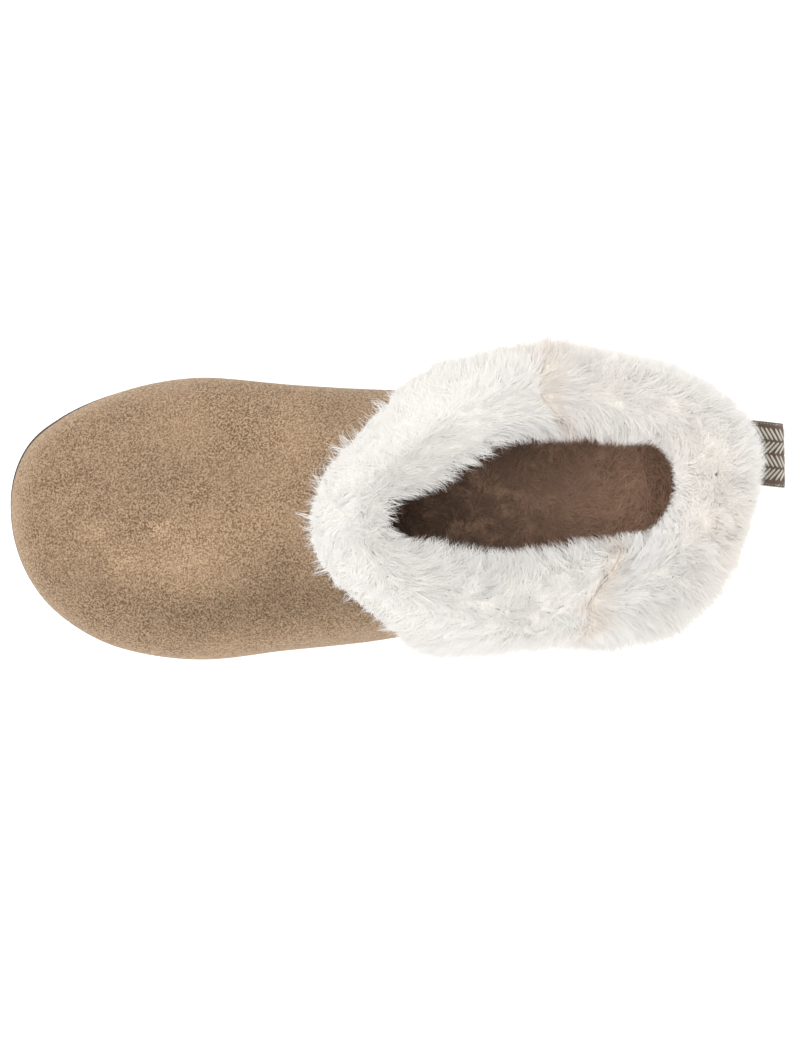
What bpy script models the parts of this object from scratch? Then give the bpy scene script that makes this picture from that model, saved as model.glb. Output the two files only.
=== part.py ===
"""A left bootie slipper: suede upper on a moulded sole, with a deep fur cuff folded over its collar.

The heel's back is at x = 0 and the toe points along -X. The medial side is +Y and the floor is z = 0.
Directions round the shoe are angles from the toe (0) by the medial side (90 degrees) to the heel (180).
"""

import math

import bmesh
import bpy
import numpy as np

# Driving sizes of the last and of what is built on it, in metres.
SHOE_LENGTH = 0.261
BALL_WIDTH = 0.103
COLLAR_LENGTH = 0.130
COLLAR_WIDTH = 0.078
COLLAR_LEAN = 0.0045
COLLAR_HEIGHT_FRONT = 0.092
COLLAR_HEIGHT_SIDE = 0.097
COLLAR_HEIGHT_BACK = 0.100

# Upper: one wall of suede on its backing.
WALL = 0.0025
FEATHER_TUCK = 0.004
SEAT_GAP = 0.0003

# Outsole: thickness, lifts off the floor, and its side. RIM_SHARES are shares of RIM_OVERHANG that the rim
# stands out: everywhere, and added at the toe, at its medial side and at the heel.
SOLE_HEEL = 0.021
SOLE_BALL = 0.014
TOE_SPRING = 0.009
HEEL_LIFT = 0.0035
ARCH_LIFT = 0.003
RIM_OVERHANG = 0.0022
RIM_SHARES = (-0.9, 1.5, 0.9, 0.5)
EDGE_ROUND = 0.003
SIDE_STEP = 0.0012
GROOVE_WIDTH = 0.003
GROOVE_DEPTH = 0.0022
GROOVE_PITCH = 0.0115
HEEL_GROOVES = 5
BALL_GROOVES = 8
FIRST_HEEL_GROOVE = 0.085
FIRST_BALL_GROOVE = 0.555

# Insole.
INSOLE_THICKNESS = 0.005
INSOLE_CLEARANCE = 0.0012

# Cuff: depth of the fur outside, over and inside the collar, its locks, the gap that its slot leaves round
# the upper, and how the seams press it flat: over SEAM_SPREAD radians, by these shares of its depth. The
# rows of the section lean with the seams over LEAN_SPREAD radians.
FUR_OUTSIDE = 0.0155
FUR_CREST = 0.0135
FUR_INSIDE = 0.0135
FUR_HEM = 0.005
LOCK_RELIEF = 0.0028
LOCKS_AROUND = 24
SLOT_GAP = 0.0007
SEAM_GAP = 0.0008
SEAM_SPREAD = 0.07
LEAN_SPREAD = 0.45
SEAM_PRESS_SIDE = 0.30
SEAM_PRESS_CREST = 0.35

# Pull loop: woven tape folded in two and sewn to the heel. Its layers part until EYE_OPEN of the reach and
# the fold begins at FOLD_START of it.
TAPE_WIDTH = 0.0233
TAPE_THICKNESS = 0.0014
LOOP_REACH = 0.0315
LOOP_EYE = 0.0088
LOOP_STEM = 0.011
LOOP_STEM_TOP = 0.046
LOOP_RISE = math.radians(14)
LOOP_OFFSET = 0.0172
LOOP_TURN = math.radians(-8)
EYE_OPEN = 0.62
FOLD_START = 0.72
FOLD_BULGE = 1.15

# Grid counts.
AROUND = 60
CUFF_AROUND = 84
ACROSS = 8

# The last's outline seen from above, at its widest. Places are shares of SHOE_LENGTH from the heel's back,
# middle and half_width are shares of BALL_WIDTH, and half_width is before the round ends' factor.
# Columns: place, middle, half_width.
LAST = (
    (0.00, 0.045, 0.540),
    (0.08, 0.045, 0.540),
    (0.18, 0.032, 0.490),
    (0.31, -0.010, 0.445),
    (0.45, -0.048, 0.441),
    (0.51, -0.053, 0.453),
    (0.62, -0.047, 0.496),
    (0.73, -0.044, 0.574),
    (0.85, -0.045, 0.643),
    (0.93, -0.034, 0.697),
    (0.98, -0.012, 0.765),
    (1.00, 0.000, 0.790),
)

# The collar's oval. Places are shares of COLLAR_LENGTH from its back, the rest shares of COLLAR_WIDTH.
# Columns: place, middle, half_width.
COLLAR = (
    (0.00, 0.060, 0.530),
    (0.30, 0.020, 0.520),
    (0.60, -0.030, 0.500),
    (1.00, -0.100, 0.440),
)

# The upper's rings from the sole to the collar. "in" is the share of the way from the last's outline to
# the collar's oval, "up" the share of the height between the sole and the collar, and "tuck" the share
# of FEATHER_TUCK that the ring lies inside the outline.
RING_COLUMNS = ("tuck", "front_in", "front_up", "side_in", "side_up", "back_in", "back_up")
RINGS = (
    (1.00, 0.000, 0.000, 0.000, 0.000, 0.000, 0.000),
    (0.30, 0.000, 0.060, 0.000, 0.075, 0.000, 0.090),
    (0.00, 0.000, 0.135, 0.000, 0.165, 0.020, 0.190),
    (0.00, 0.014, 0.235, 0.004, 0.250, 0.050, 0.290),
    (0.00, 0.050, 0.330, 0.025, 0.325, 0.100, 0.390),
    (0.00, 0.120, 0.405, 0.070, 0.395, 0.170, 0.480),
    (0.00, 0.250, 0.475, 0.150, 0.470, 0.260, 0.570),
    (0.00, 0.420, 0.555, 0.290, 0.555, 0.380, 0.655),
    (0.00, 0.600, 0.655, 0.470, 0.650, 0.520, 0.740),
    (0.00, 0.760, 0.765, 0.660, 0.760, 0.680, 0.825),
    (0.00, 0.890, 0.880, 0.840, 0.880, 0.840, 0.915),
    (0.00, 1.000, 1.000, 1.000, 1.000, 1.000, 1.000),
)

# How far up the upper the cuff's hem lies. Columns: direction, share of the way from sole to collar.
HEM = ((0, 0.950), (40, 0.940), (60, 0.900), (78, 0.800), (95, 0.660), (120, 0.550), (180, 0.500))

# Depth of the outer fur round the cuff, as shares of FUR_OUTSIDE. Directions run from the toe by the
# medial side through 360 degrees. Columns: direction, share.
FULLNESS = (
    (0, 0.70), (40, 0.48), (60, 0.30), (75, 0.36), (86, 0.56), (93, 0.92), (99, 1.18), (106, 0.95),
    (114, 0.82), (125, 0.82), (140, 0.88), (160, 1.10), (172, 1.10), (182, 0.95), (193, 0.92), (206, 1.15),
    (230, 1.62), (248, 0.96), (262, 0.84), (285, 0.76), (300, 0.60), (330, 0.64), (360, 0.70),
)

# Depth of the inner fur round the cuff, as shares of FUR_INSIDE. Columns: direction, share.
INNER_FULLNESS = (
    (0, 0.70), (20, 0.74), (32, 1.08), (45, 1.34), (60, 1.28), (80, 1.05), (96, 1.14), (125, 1.10),
    (148, 0.70), (180, 0.80), (215, 0.68), (235, 1.15), (255, 1.38), (285, 1.38), (300, 1.40), (318, 1.32),
    (340, 0.84), (360, 0.70),
)

# The cuff's section. Outside it climbs from the hem: share of the way to the collar, share of the depth, and
# share of FUR_HEM that the fur hangs down. Over the collar it turns through CREST_DEGREES. Inside it goes
# down: share of the way to its lower edge, and share of the depth. A row of locks takes LOCK_ROW rows of
# the section, and rows of less depth than LEAST_LOCKED have none. The inner fur's depth is taken level.
OUTER_ROWS = (
    (0.00, 0.10, 1.0),
    (0.00, 0.50, 0.8),
    (0.10, 0.80, 0.3),
    (0.28, 0.95, 0.0),
    (0.46, 1.00, 0.0),
    (0.64, 1.00, 0.0),
    (0.82, 1.00, 0.0),
)
CREST_DEGREES = (12, 45, 80, 112, 150)
INNER_ROWS = ((0.15, 1.00), (0.45, 0.95), (0.75, 0.75), (1.00, 0.45), (1.00, 0.12))
LOCK_ROW = 2.2
LEAST_LOCKED = 0.4
LEVEL = (1.0, 1.0, 0.0)

# How far down the inside the fur reaches. Columns: direction, share of the way from collar to sole.
INNER_DROP = ((0, 0.10), (50, 0.16), (90, 0.34), (180, 0.30))

# Where the cuff's front and back panels are sewn together.
SEAM_MEDIAL = math.radians(96)
SEAM_LATERAL = math.radians(250)

# How the seams lean: the degrees that each row of the section is turned by. The rows count from the outer
# hem, and rows on one line of the cloth are turned alike. Columns: row, at the medial seam, at the lateral.
SEAM_LEAN = (
    (0, 3, 5),
    (1, 3, 5),
    (7, -1, 6),
    (9, -6, 6),
    (10, -5, -2),
    (11, 1, -12),
    (12, 8, -17),
    (15, 14, -18),
    (16, 14, -18),
)

# The outsole's wall, from the tread's edge to the rim: share of EDGE_ROUND and of SIDE_STEP that a level
# lies inside the outline, and its share of the sole's thickness. Columns: round, step, height.
SOLE_LEVELS = (
    (1.00, 0.0, 0.00),
    (0.25, 0.0, 0.10),
    (0.00, 0.0, 0.24),
    (0.00, 0.0, 0.38),
    (0.00, 1.0, 0.42),
    (0.00, 1.0, 0.54),
    (0.00, 0.0, 0.60),
    (0.00, 0.0, 0.90),
    (0.00, 1.0, 1.00),
)

COLOURS = {
    "outsole": ((0.060, 0.048, 0.040), 0.75),
    "upper": ((0.430, 0.290, 0.185), 0.95),
    "insole": ((0.130, 0.075, 0.048), 1.00),
    "cuff": ((0.860, 0.820, 0.770), 1.00),
    "pull_loop": ((0.200, 0.150, 0.105), 0.85),
}


def smooth(at, places, values):
    """A cubic through a table's points that never overshoots them, at each value of at."""
    places, values = np.asarray(places, float), np.asarray(values, float)
    rise = np.diff(values) / np.diff(places)
    slope = np.zeros_like(values)
    same = rise[1:] * rise[:-1] > 0
    slope[1:-1][same] = 2 / (1 / rise[1:][same] + 1 / rise[:-1][same])
    slope[0], slope[-1] = rise[0], rise[-1]
    at = np.clip(at, places[0], places[-1])
    i = np.clip(np.searchsorted(places, at, side="right") - 1, 0, len(rise) - 1)
    width = places[i + 1] - places[i]
    t = (at - places[i]) / width
    start = (2 * t**3 - 3 * t**2 + 1) * values[i] + (t**3 - 2 * t**2 + t) * width * slope[i]
    end = (3 * t**2 - 2 * t**3) * values[i + 1] + (t**3 - t**2) * width * slope[i + 1]
    return start + end


def column(table, number):
    return [row[number] for row in table]


def oval(angle, table, length, width, back):
    """Points of a closed outline: x from the table's places, y from its middle and half width."""
    place = (1 + np.cos(angle)) / 2
    middle = smooth(place, column(table, 0), column(table, 1)) * width
    half = smooth(place, column(table, 0), column(table, 2)) * width
    return np.stack([back - place * length, middle + half * np.sin(angle)], -1)


def last_outline(angle):
    return oval(angle, LAST, SHOE_LENGTH, BALL_WIDTH, 0.0)


def collar_outline(angle):
    return oval(angle, COLLAR, COLLAR_LENGTH, COLLAR_WIDTH, -COLLAR_LEAN)


def moved_out(angle, distance):
    """The last's outline moved outwards by distance, square to itself."""
    step = 1e-4
    along = last_outline(angle + step) - last_outline(angle - step)
    along /= np.linalg.norm(along, axis=-1, keepdims=True)
    outwards = np.stack([-along[..., 1], along[..., 0]], -1)
    return last_outline(angle) + outwards * np.asarray(distance)[..., None]


def sole_bottom(x):
    """Height of the tread: flat under heel and ball, lifted at the toe, the arch and the heel's back."""
    place = -x / SHOE_LENGTH
    lifts = (HEEL_LIFT, 0.0, 0.0, ARCH_LIFT, 0.0, 0.0, TOE_SPRING)
    return smooth(place, (0.0, 0.075, 0.30, 0.44, 0.58, 0.84, 1.0), lifts)


def sole_top(x):
    """Height of the face that the upper and the insole stand on."""
    place = -x / SHOE_LENGTH
    thick = (SOLE_HEEL, SOLE_HEEL, SOLE_BALL, SOLE_BALL)
    levels = (HEEL_LIFT * 0.3, 0.0, 0.0, TOE_SPRING * 0.85)
    height = [a + b for a, b in zip(thick, levels)]
    return smooth(place, (0.0, 0.25, 0.66, 1.0), height)


def by_direction(angle, front, side, back):
    """A value at the front, side and back, eased between them round the shoe."""
    ahead = np.clip(np.cos(angle), 0, 1) ** 2
    behind = np.clip(-np.cos(angle), 0, 1) ** 2
    return front * ahead + back * behind + side * (1 - ahead - behind)


def upper_surface(angle, rise):
    """The upper's outside at a direction and a share of the way from the sole (0) to the collar (1)."""
    angle, rise = np.broadcast_arrays(np.asarray(angle, float), np.asarray(rise, float))
    levels = np.linspace(0, 1, len(RINGS))
    ring = {name: smooth(rise, levels, column(RINGS, i)) for i, name in enumerate(RING_COLUMNS)}
    inwards = by_direction(angle, ring["front_in"], ring["side_in"], ring["back_in"])[..., None]
    up = by_direction(angle, ring["front_up"], ring["side_up"], ring["back_up"])
    low = moved_out(angle, -ring["tuck"] * FEATHER_TUCK)
    plan = low * (1 - inwards) + collar_outline(angle) * inwards
    floor = sole_top(last_outline(angle)[..., 0]) + SEAT_GAP
    top = by_direction(angle, COLLAR_HEIGHT_FRONT, COLLAR_HEIGHT_SIDE, COLLAR_HEIGHT_BACK)
    return np.concatenate([plan, (floor + up * (top - floor))[..., None]], -1)


def unit(vector):
    return vector / np.linalg.norm(vector, axis=-1, keepdims=True)


def upper_frame(angle, rise):
    """Point, outward normal and upward tangent of the upper's outside."""
    step = 1e-3
    point = upper_surface(angle, rise)
    around = upper_surface(angle + step, rise) - upper_surface(angle - step, rise)
    higher, lower = np.minimum(rise + step, 1.0), np.maximum(rise - step, 0.0)
    upwards = unit(upper_surface(angle, higher) - upper_surface(angle, lower))
    return point, unit(np.cross(upwards, around)), upwards


def directions(count, start=0.0, turn=2 * math.pi):
    return start + turn * np.arange(count) / count


def object_from(name, points, faces, colour):
    """A mesh object of this shape and material, in the slipper's collection."""
    mesh = bpy.data.meshes.new(name)
    mesh.from_pydata([tuple(p) for p in points], [], faces)
    work = bmesh.new()
    work.from_mesh(mesh)
    bmesh.ops.recalc_face_normals(work, faces=work.faces)
    work.to_mesh(mesh)
    work.free()
    mesh.shade_smooth()
    made = bpy.data.objects.new(name, mesh)
    slipper.objects.link(made)
    mesh.materials.append(material(colour))
    return made


def material(name):
    """A Principled material of the named sub-part's colour and roughness."""
    found = bpy.data.materials.get(name)
    if found:
        return found
    made = bpy.data.materials.new(name)
    made.use_nodes = True
    colour, roughness = COLOURS[name]
    shader = made.node_tree.nodes["Principled BSDF"]
    shader.inputs["Base Color"].default_value = (*colour, 1)
    shader.inputs["Roughness"].default_value = roughness
    return made


def grid_faces(rows, columns, closed):
    """Quads between neighbouring points of a grid whose rows may close on themselves."""
    steps = columns if closed else columns - 1
    faces = []
    for r in range(rows - 1):
        for c in range(steps):
            d = (c + 1) % columns
            faces.append((r * columns + c, r * columns + d, (r + 1) * columns + d, (r + 1) * columns + c))
    return faces


def slab(name, levels, colour):
    """A closed slab from rings of 2n points, whose first and last rings are filled by strips across."""
    rows, count = len(levels), levels[0].shape[0]
    points = [p for level in levels for p in level]
    faces = grid_faces(rows, count, closed=True)
    for ring in (0, rows - 1):
        first = ring * count
        before = [first]
        for i in range(1, count // 2):
            medial, lateral = levels[ring][i], levels[ring][count - i]
            line = [first + i]
            for a in range(1, ACROSS):
                points.append(medial + (lateral - medial) * a / ACROSS)
                line.append(len(points) - 1)
            line.append(first + count - i)
            for a in range(ACROSS):
                edge = (before[a], before[a + 1]) if len(before) > 1 else (before[0],)
                faces.append((*edge, line[a + 1], line[a]))
            before = line
        for a in range(ACROSS):
            faces.append((before[a], before[a + 1], first + count // 2))
    return object_from(name, points, faces, colour)


def solidify(target, thickness, offset):
    wall = target.modifiers.new("wall", "SOLIDIFY")
    wall.thickness = thickness
    wall.offset = offset
    wall.use_even_offset = True
    return target


def make_upper():
    """The suede shell, open at the collar and underneath."""
    angles = directions(AROUND)
    rises = np.linspace(0, 1, len(RINGS) + 3)
    points = upper_surface(angles[None, :], rises[:, None]).reshape(-1, 3)
    shell = object_from("upper", points, grid_faces(len(rises), AROUND, closed=True), "upper")
    return solidify(shell, WALL, -1)


def sole_margin(angle):
    """How far the sole's rim stands out beyond the last: at the toe it shows, at the sides it doesn't."""
    side, toe, medial_toe, heel = RIM_SHARES
    ahead = np.clip(np.cos(angle), 0, 1) ** 1.5
    medial = np.clip(np.sin(angle), 0, 1)
    behind = np.clip(-np.cos(angle), 0, 1)
    return RIM_OVERHANG * (side + toe * ahead + medial_toe * medial * ahead + heel * behind)


def make_groove_cutter():
    """One hidden mesh of long boxes across the tread, which part its lugs."""
    places = [-FIRST_HEEL_GROOVE * SHOE_LENGTH - i * GROOVE_PITCH for i in range(HEEL_GROOVES)]
    places += [-FIRST_BALL_GROOVE * SHOE_LENGTH - i * GROOVE_PITCH for i in range(BALL_GROOVES)]
    half = np.array([GROOVE_WIDTH / 2, 0.8 * BALL_WIDTH, GROOVE_DEPTH])
    corners = np.array([(x, y, z) for x in (-1, 1) for y in (-1, 1) for z in (-1, 1)])
    sides = ((0, 1, 3, 2), (4, 6, 7, 5), (0, 4, 5, 1), (2, 3, 7, 6), (0, 2, 6, 4), (1, 5, 7, 3))
    points, faces = [], []
    for number, x in enumerate(places):
        points += list(corners * half + (x, 0, 0))
        faces += [tuple(8 * number + c for c in side) for side in sides]
    cutter = object_from("groove_cutter", points, faces, "outsole")
    cutter.hide_render = True
    cutter.display_type = "WIRE"
    return cutter


def make_outsole():
    """The moulded sole: a stepped wall, a flat top for the upper, and grooves that part the lugs."""
    angles = directions(AROUND)
    margin = sole_margin(angles)
    levels = []
    for inward, step, height in SOLE_LEVELS:
        plan = moved_out(angles, margin - inward * EDGE_ROUND - step * SIDE_STEP)
        low, high = sole_bottom(plan[:, 0]), sole_top(plan[:, 0])
        levels.append(np.column_stack([plan, low + height * (high - low)]))
    sole = slab("outsole", levels, "outsole")
    cutter = make_groove_cutter()
    cut = sole.modifiers.new("grooves", "BOOLEAN")
    cut.object = cutter
    cut.operation = "DIFFERENCE"
    cut.solver = "EXACT"
    return sole


def make_insole():
    """The cushioned footbed, lying on the sole inside the upper."""
    angles = directions(AROUND)
    inside = FEATHER_TUCK + WALL + INSOLE_CLEARANCE
    levels = []
    for inward, height in ((0.0, 0.0), (0.0, 0.6), (0.0012, 1.0)):
        plan = moved_out(angles, np.full(AROUND, -inside - inward))
        levels.append(np.column_stack([plan, sole_top(plan[:, 0]) + SEAT_GAP + height * INSOLE_THICKNESS]))
    return slab("insole", levels, "insole")


def by_table(angle, table):
    """A table's value at this many degrees from the toe, the same on both sides."""
    away = np.degrees(np.abs((angle + math.pi) % (2 * math.pi) - math.pi))
    return smooth(away, column(table, 0), column(table, 1))


def outer_depth(angle):
    return FUR_OUTSIDE * smooth(np.degrees(angle) % 360, column(FULLNESS, 0), column(FULLNESS, 1))


def inner_depth(angle):
    return FUR_INSIDE * smooth(np.degrees(angle) % 360, column(INNER_FULLNESS, 0), column(INNER_FULLNESS, 1))


def seam_reach(angle, seam, spread):
    """1 at this seam, falling to 0 over spread radians to both sides."""
    away = (angle - seam + math.pi) % (2 * math.pi) - math.pi
    return np.exp(-((away / spread) ** 2))


def leaned(angle, row):
    """The directions of a row of the section, turned near each seam by what the seam leans there."""
    rows, medial, lateral = (column(SEAM_LEAN, number) for number in range(3))
    turned = math.radians(smooth(row, rows, medial)) * seam_reach(angle, SEAM_MEDIAL, LEAN_SPREAD)
    turned = turned + math.radians(smooth(row, rows, lateral)) * seam_reach(angle, SEAM_LATERAL, LEAN_SPREAD)
    return angle + turned


def lock_height(angle, down):
    """Relief of the fur's locks, from 0 to 1: each row's locks lie between those of the row before it.

    A lock widens its ridge at the root, narrows by 45% to its tip and stands highest there.
    """
    row = np.floor(down)
    along = down - row
    waver = 0.13 * np.sin(5 * angle + 2 * row)
    across = (angle / (2 * math.pi) * LOCKS_AROUND + 0.5 * (row % 2) + waver) % 1
    width = 1.0 - 0.45 * along
    ridge = np.clip(1 - ((across - 0.5) * 2 / width) ** 2, 0, 1)
    return ridge * (0.35 + 0.65 * along)


def cuff_section(angles):
    """Fur side and slot side of the cuff's section, from the outer hem over the collar to the inside."""
    near_seam = sum(seam_reach(angles, seam, SEAM_SPREAD) for seam in (SEAM_MEDIAL, SEAM_LATERAL))
    fur, slot = [], []
    for number, (share, depth, hang) in enumerate(OUTER_ROWS):
        a = leaned(angles, len(fur))
        hem = by_table(a, HEM)
        point, normal, tangent = upper_frame(a, hem + share * (1 - hem))
        relief = LOCK_RELIEF * lock_height(a, 3.0 - number / LOCK_ROW) * (depth > LEAST_LOCKED)
        reach = outer_depth(a) * depth * (1 - SEAM_PRESS_SIDE * near_seam) + relief
        fur.append(point + normal * (SLOT_GAP + reach)[:, None] - tangent * FUR_HEM * hang)
        slot.append(point + normal * SLOT_GAP)
    for number, degrees in enumerate(CREST_DEGREES):
        a = leaned(angles, len(fur))
        collar, out, up = upper_frame(a, np.ones_like(a))
        middle = collar - out * WALL / 2
        across, rise = math.cos(math.radians(degrees)), math.sin(math.radians(degrees))
        facing, depth = (out, outer_depth(a)) if degrees < 90 else (unit(out * LEVEL), inner_depth(a))
        relief = LOCK_RELIEF * lock_height(a + 0.1, 1.5 + number / LOCK_ROW)
        side = across * (depth + WALL / 2 + relief)
        crest = rise * (FUR_CREST * (1 - SEAM_PRESS_CREST * near_seam) + relief)
        fur.append(middle + facing * side[:, None] + up * crest[:, None])
        slot.append(middle + out * (across * (WALL / 2 + SLOT_GAP)) + up * (SLOT_GAP * rise))
    for number, (share, depth) in enumerate(INNER_ROWS):
        a = leaned(angles, len(fur))
        out = upper_frame(a, np.ones_like(a))[1]
        point, normal, tangent = upper_frame(a, 1 - share * by_table(a, INNER_DROP))
        relief = LOCK_RELIEF / 2 * lock_height(a + 0.2, number / LOCK_ROW) * (depth > LEAST_LOCKED)
        slot.append(point - normal * (WALL + SLOT_GAP))
        fur.append(slot[-1] - unit(out * LEVEL) * (inner_depth(a) * depth + relief)[:, None])
    return np.array(fur), np.array(slot)


def make_cuff_panel(name, start, end):
    """One fur panel of the cuff, from seam to seam, as a closed sweep of its folded section."""
    mid_radius = (COLLAR_LENGTH + COLLAR_WIDTH) / 4
    trim = SEAM_GAP / 2 / mid_radius
    count = max(8, round(CUFF_AROUND * (end - start) / (2 * math.pi)))
    angles = np.linspace(start + trim, end - trim, count)
    fur, slot = cuff_section(angles)
    section = np.concatenate([fur, slot[::-1]])
    rows = section.shape[0]
    points = section.transpose(1, 0, 2).reshape(-1, 3)
    faces = grid_faces(count, rows, closed=True)
    for first in (0, (count - 1) * rows):
        for j in range(rows // 2 - 1):
            faces.append((first + j, first + j + 1, first + rows - 2 - j, first + rows - 1 - j))
    return object_from(name, points, faces, "cuff")


def loop_path():
    """Side view of the tape: up the heel, out along the top layer, round the fold and back underneath."""
    half = TAPE_THICKNESS / 2
    way = np.array([math.cos(LOOP_RISE), math.sin(LOOP_RISE)])
    above = np.array([-way[1], way[0]])
    root = np.array([half + TAPE_THICKNESS, LOOP_STEM_TOP + TAPE_THICKNESS])
    reach = LOOP_REACH - TAPE_THICKNESS

    def layer(share, side):
        opened = LOOP_EYE / 2 * math.sin(math.pi / 2 * min(share / EYE_OPEN, 1)) ** 1.3
        return root + way * reach * share + above * side * opened

    def fold(degrees):
        turn = math.radians(degrees)
        bulge = way * FOLD_BULGE * math.sin(turn) + above * math.cos(turn)
        return layer(FOLD_START, 0) + LOOP_EYE / 2 * bulge

    up = [(half, LOOP_STEM_TOP - LOOP_STEM * share) for share in (1.0, 0.65, 0.3, 0.0)]
    out = [layer(share, 1) for share in (0.0, 0.15, 0.35, 0.55, FOLD_START)]
    back = [layer(share, -1) for share in (FOLD_START, 0.55, 0.35)]
    foot = half + TAPE_THICKNESS + SEAT_GAP
    down = [(foot + 1.5 * TAPE_THICKNESS, LOOP_STEM_TOP - TAPE_THICKNESS / 3)]
    down += [(foot, LOOP_STEM_TOP - LOOP_STEM * share) for share in (0.36, 0.7, 1.0)]
    return np.array([*up, *out, *map(fold, (35, 65, 90, 115, 145)), *back, *down])


def make_pull_loop():
    """The folded tape, standing off the heel under the cuff's hem."""
    path = loop_path()
    across = np.linspace(-TAPE_WIDTH / 2, TAPE_WIDTH / 2, 7)
    turn = np.array([math.cos(LOOP_TURN), math.sin(LOOP_TURN)])
    points = []
    for out, z in path:
        for side in across:
            hug = math.exp(-(out / (3 * TAPE_THICKNESS)) ** 2)
            points.append(heel_point(side, z, hug) + np.array([turn[0] * out, turn[1] * out, 0]))
    strip = object_from("pull_loop", points, grid_faces(len(path), len(across), closed=False), "pull_loop")
    return solidify(strip, TAPE_THICKNESS, 0)


def heel_point(side, z, hug):
    """A point beside the heel at this height: hug 1 follows the heel's curve, hug 0 is straight across."""
    angles = np.linspace(math.pi * 0.55, math.pi * 1.2, 200)
    rises = np.linspace(0.15, 0.75, 60)
    surface = upper_surface(angles[:, None], rises[None, :])
    near = np.abs(surface[..., 2] - z).argmin(axis=1)
    line = surface[np.arange(len(angles)), near]
    order = np.argsort(line[:, 1])
    wanted = LOOP_OFFSET + side
    curved = np.interp(wanted, line[order, 1], line[order, 0])
    straight = np.interp(LOOP_OFFSET, line[order, 1], line[order, 0])
    return np.array([hug * curved + (1 - hug) * straight + 2 * SEAT_GAP, wanted, z])


def stand_on_origin(parts):
    """Carries everything on an empty, so that the middle of the parts' box stands over the origin."""
    bpy.context.view_layer.update()
    graph = bpy.context.evaluated_depsgraph_get()
    corners = np.array([corner[:] for part in parts for corner in part.evaluated_get(graph).bound_box])
    middle = (corners.min(0) + corners.max(0)) / 2
    carrier = bpy.data.objects.new("bootie_slipper", None)
    slipper.objects.link(carrier)
    carrier.location = (-middle[0], -middle[1], 0)
    for made in slipper.objects:
        if made is not carrier:
            made.parent = carrier


for old in list(bpy.data.objects):
    bpy.data.objects.remove(old)
slipper = bpy.data.collections.new("slipper")
bpy.context.scene.collection.children.link(slipper)

stand_on_origin([
    make_outsole(),
    make_upper(),
    make_insole(),
    make_cuff_panel("cuff_front", SEAM_LATERAL - 2 * math.pi, SEAM_MEDIAL),
    make_cuff_panel("cuff_back", SEAM_MEDIAL, SEAM_LATERAL),
    make_pull_loop(),
])
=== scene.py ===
# %% [markdown]
# # A suede bootie slipper with a fur cuff, seen from above
#
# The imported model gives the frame: a hollow upper, a sole, an insole, two cuff panels and a pull loop. This
# script dresses them. Each surface is a formula in two parameters, worked out for whole arrays at once, and
# each fur or pile is thousands of thin ribbons that follow such a surface. Lengths are in metres.

# %% Frame
import math

import bpy
import numpy as np
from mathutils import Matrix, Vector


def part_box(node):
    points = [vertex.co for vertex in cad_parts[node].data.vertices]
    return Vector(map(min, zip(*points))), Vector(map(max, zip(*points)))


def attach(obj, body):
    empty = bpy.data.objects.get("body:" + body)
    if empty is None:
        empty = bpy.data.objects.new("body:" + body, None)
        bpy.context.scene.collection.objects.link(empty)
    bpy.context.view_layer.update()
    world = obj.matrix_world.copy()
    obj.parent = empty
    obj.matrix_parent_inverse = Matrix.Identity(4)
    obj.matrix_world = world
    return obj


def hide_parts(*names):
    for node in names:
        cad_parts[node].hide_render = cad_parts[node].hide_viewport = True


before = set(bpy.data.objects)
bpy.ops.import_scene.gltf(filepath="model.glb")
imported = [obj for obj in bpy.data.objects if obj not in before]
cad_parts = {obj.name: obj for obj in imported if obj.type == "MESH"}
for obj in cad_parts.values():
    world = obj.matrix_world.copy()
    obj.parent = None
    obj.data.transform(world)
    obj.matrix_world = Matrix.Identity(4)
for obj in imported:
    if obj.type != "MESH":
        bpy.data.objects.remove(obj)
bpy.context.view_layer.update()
THIN = 1
print("nodes:", ", ".join(sorted(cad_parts)))

# %% [markdown]
# ## The last
#
# The last is the foot shape that the shoe is built on. Its outline and the collar's oval are two closed
# curves in the same angle: 0 is the toe, 90 degrees the medial side, 180 the heel. The upper blends from one
# to the other while it rises, by a table of rings. The driving sizes are the same as the solid model's.

# %% Last and upper as formulas
SHOE_LENGTH = 0.261
BALL_WIDTH = 0.103
COLLAR_LENGTH = 0.130
COLLAR_WIDTH = 0.078
COLLAR_LEAN = 0.0045
COLLAR_HEIGHTS = (0.092, 0.097, 0.100)
WALL = 0.0025
FEATHER_TUCK = 0.004
SEAT_GAP = 0.0003
SEAM_MEDIAL = math.radians(96)
SEAM_LATERAL = math.radians(250)

# Each row: share of the length from the heel, middle and half width as shares of the ball width.
LAST = np.array((
    (0.00, 0.045, 0.540),
    (0.08, 0.045, 0.540),
    (0.18, 0.032, 0.490),
    (0.31, -0.010, 0.445),
    (0.45, -0.048, 0.441),
    (0.51, -0.053, 0.453),
    (0.62, -0.047, 0.496),
    (0.73, -0.044, 0.574),
    (0.85, -0.045, 0.643),
    (0.93, -0.034, 0.697),
    (0.98, -0.012, 0.765),
    (1.00, 0.000, 0.790),
))
COLLAR = np.array((
    (0.00, 0.060, 0.530),
    (0.30, 0.020, 0.520),
    (0.60, -0.030, 0.500),
    (1.00, -0.100, 0.440),
))
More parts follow.
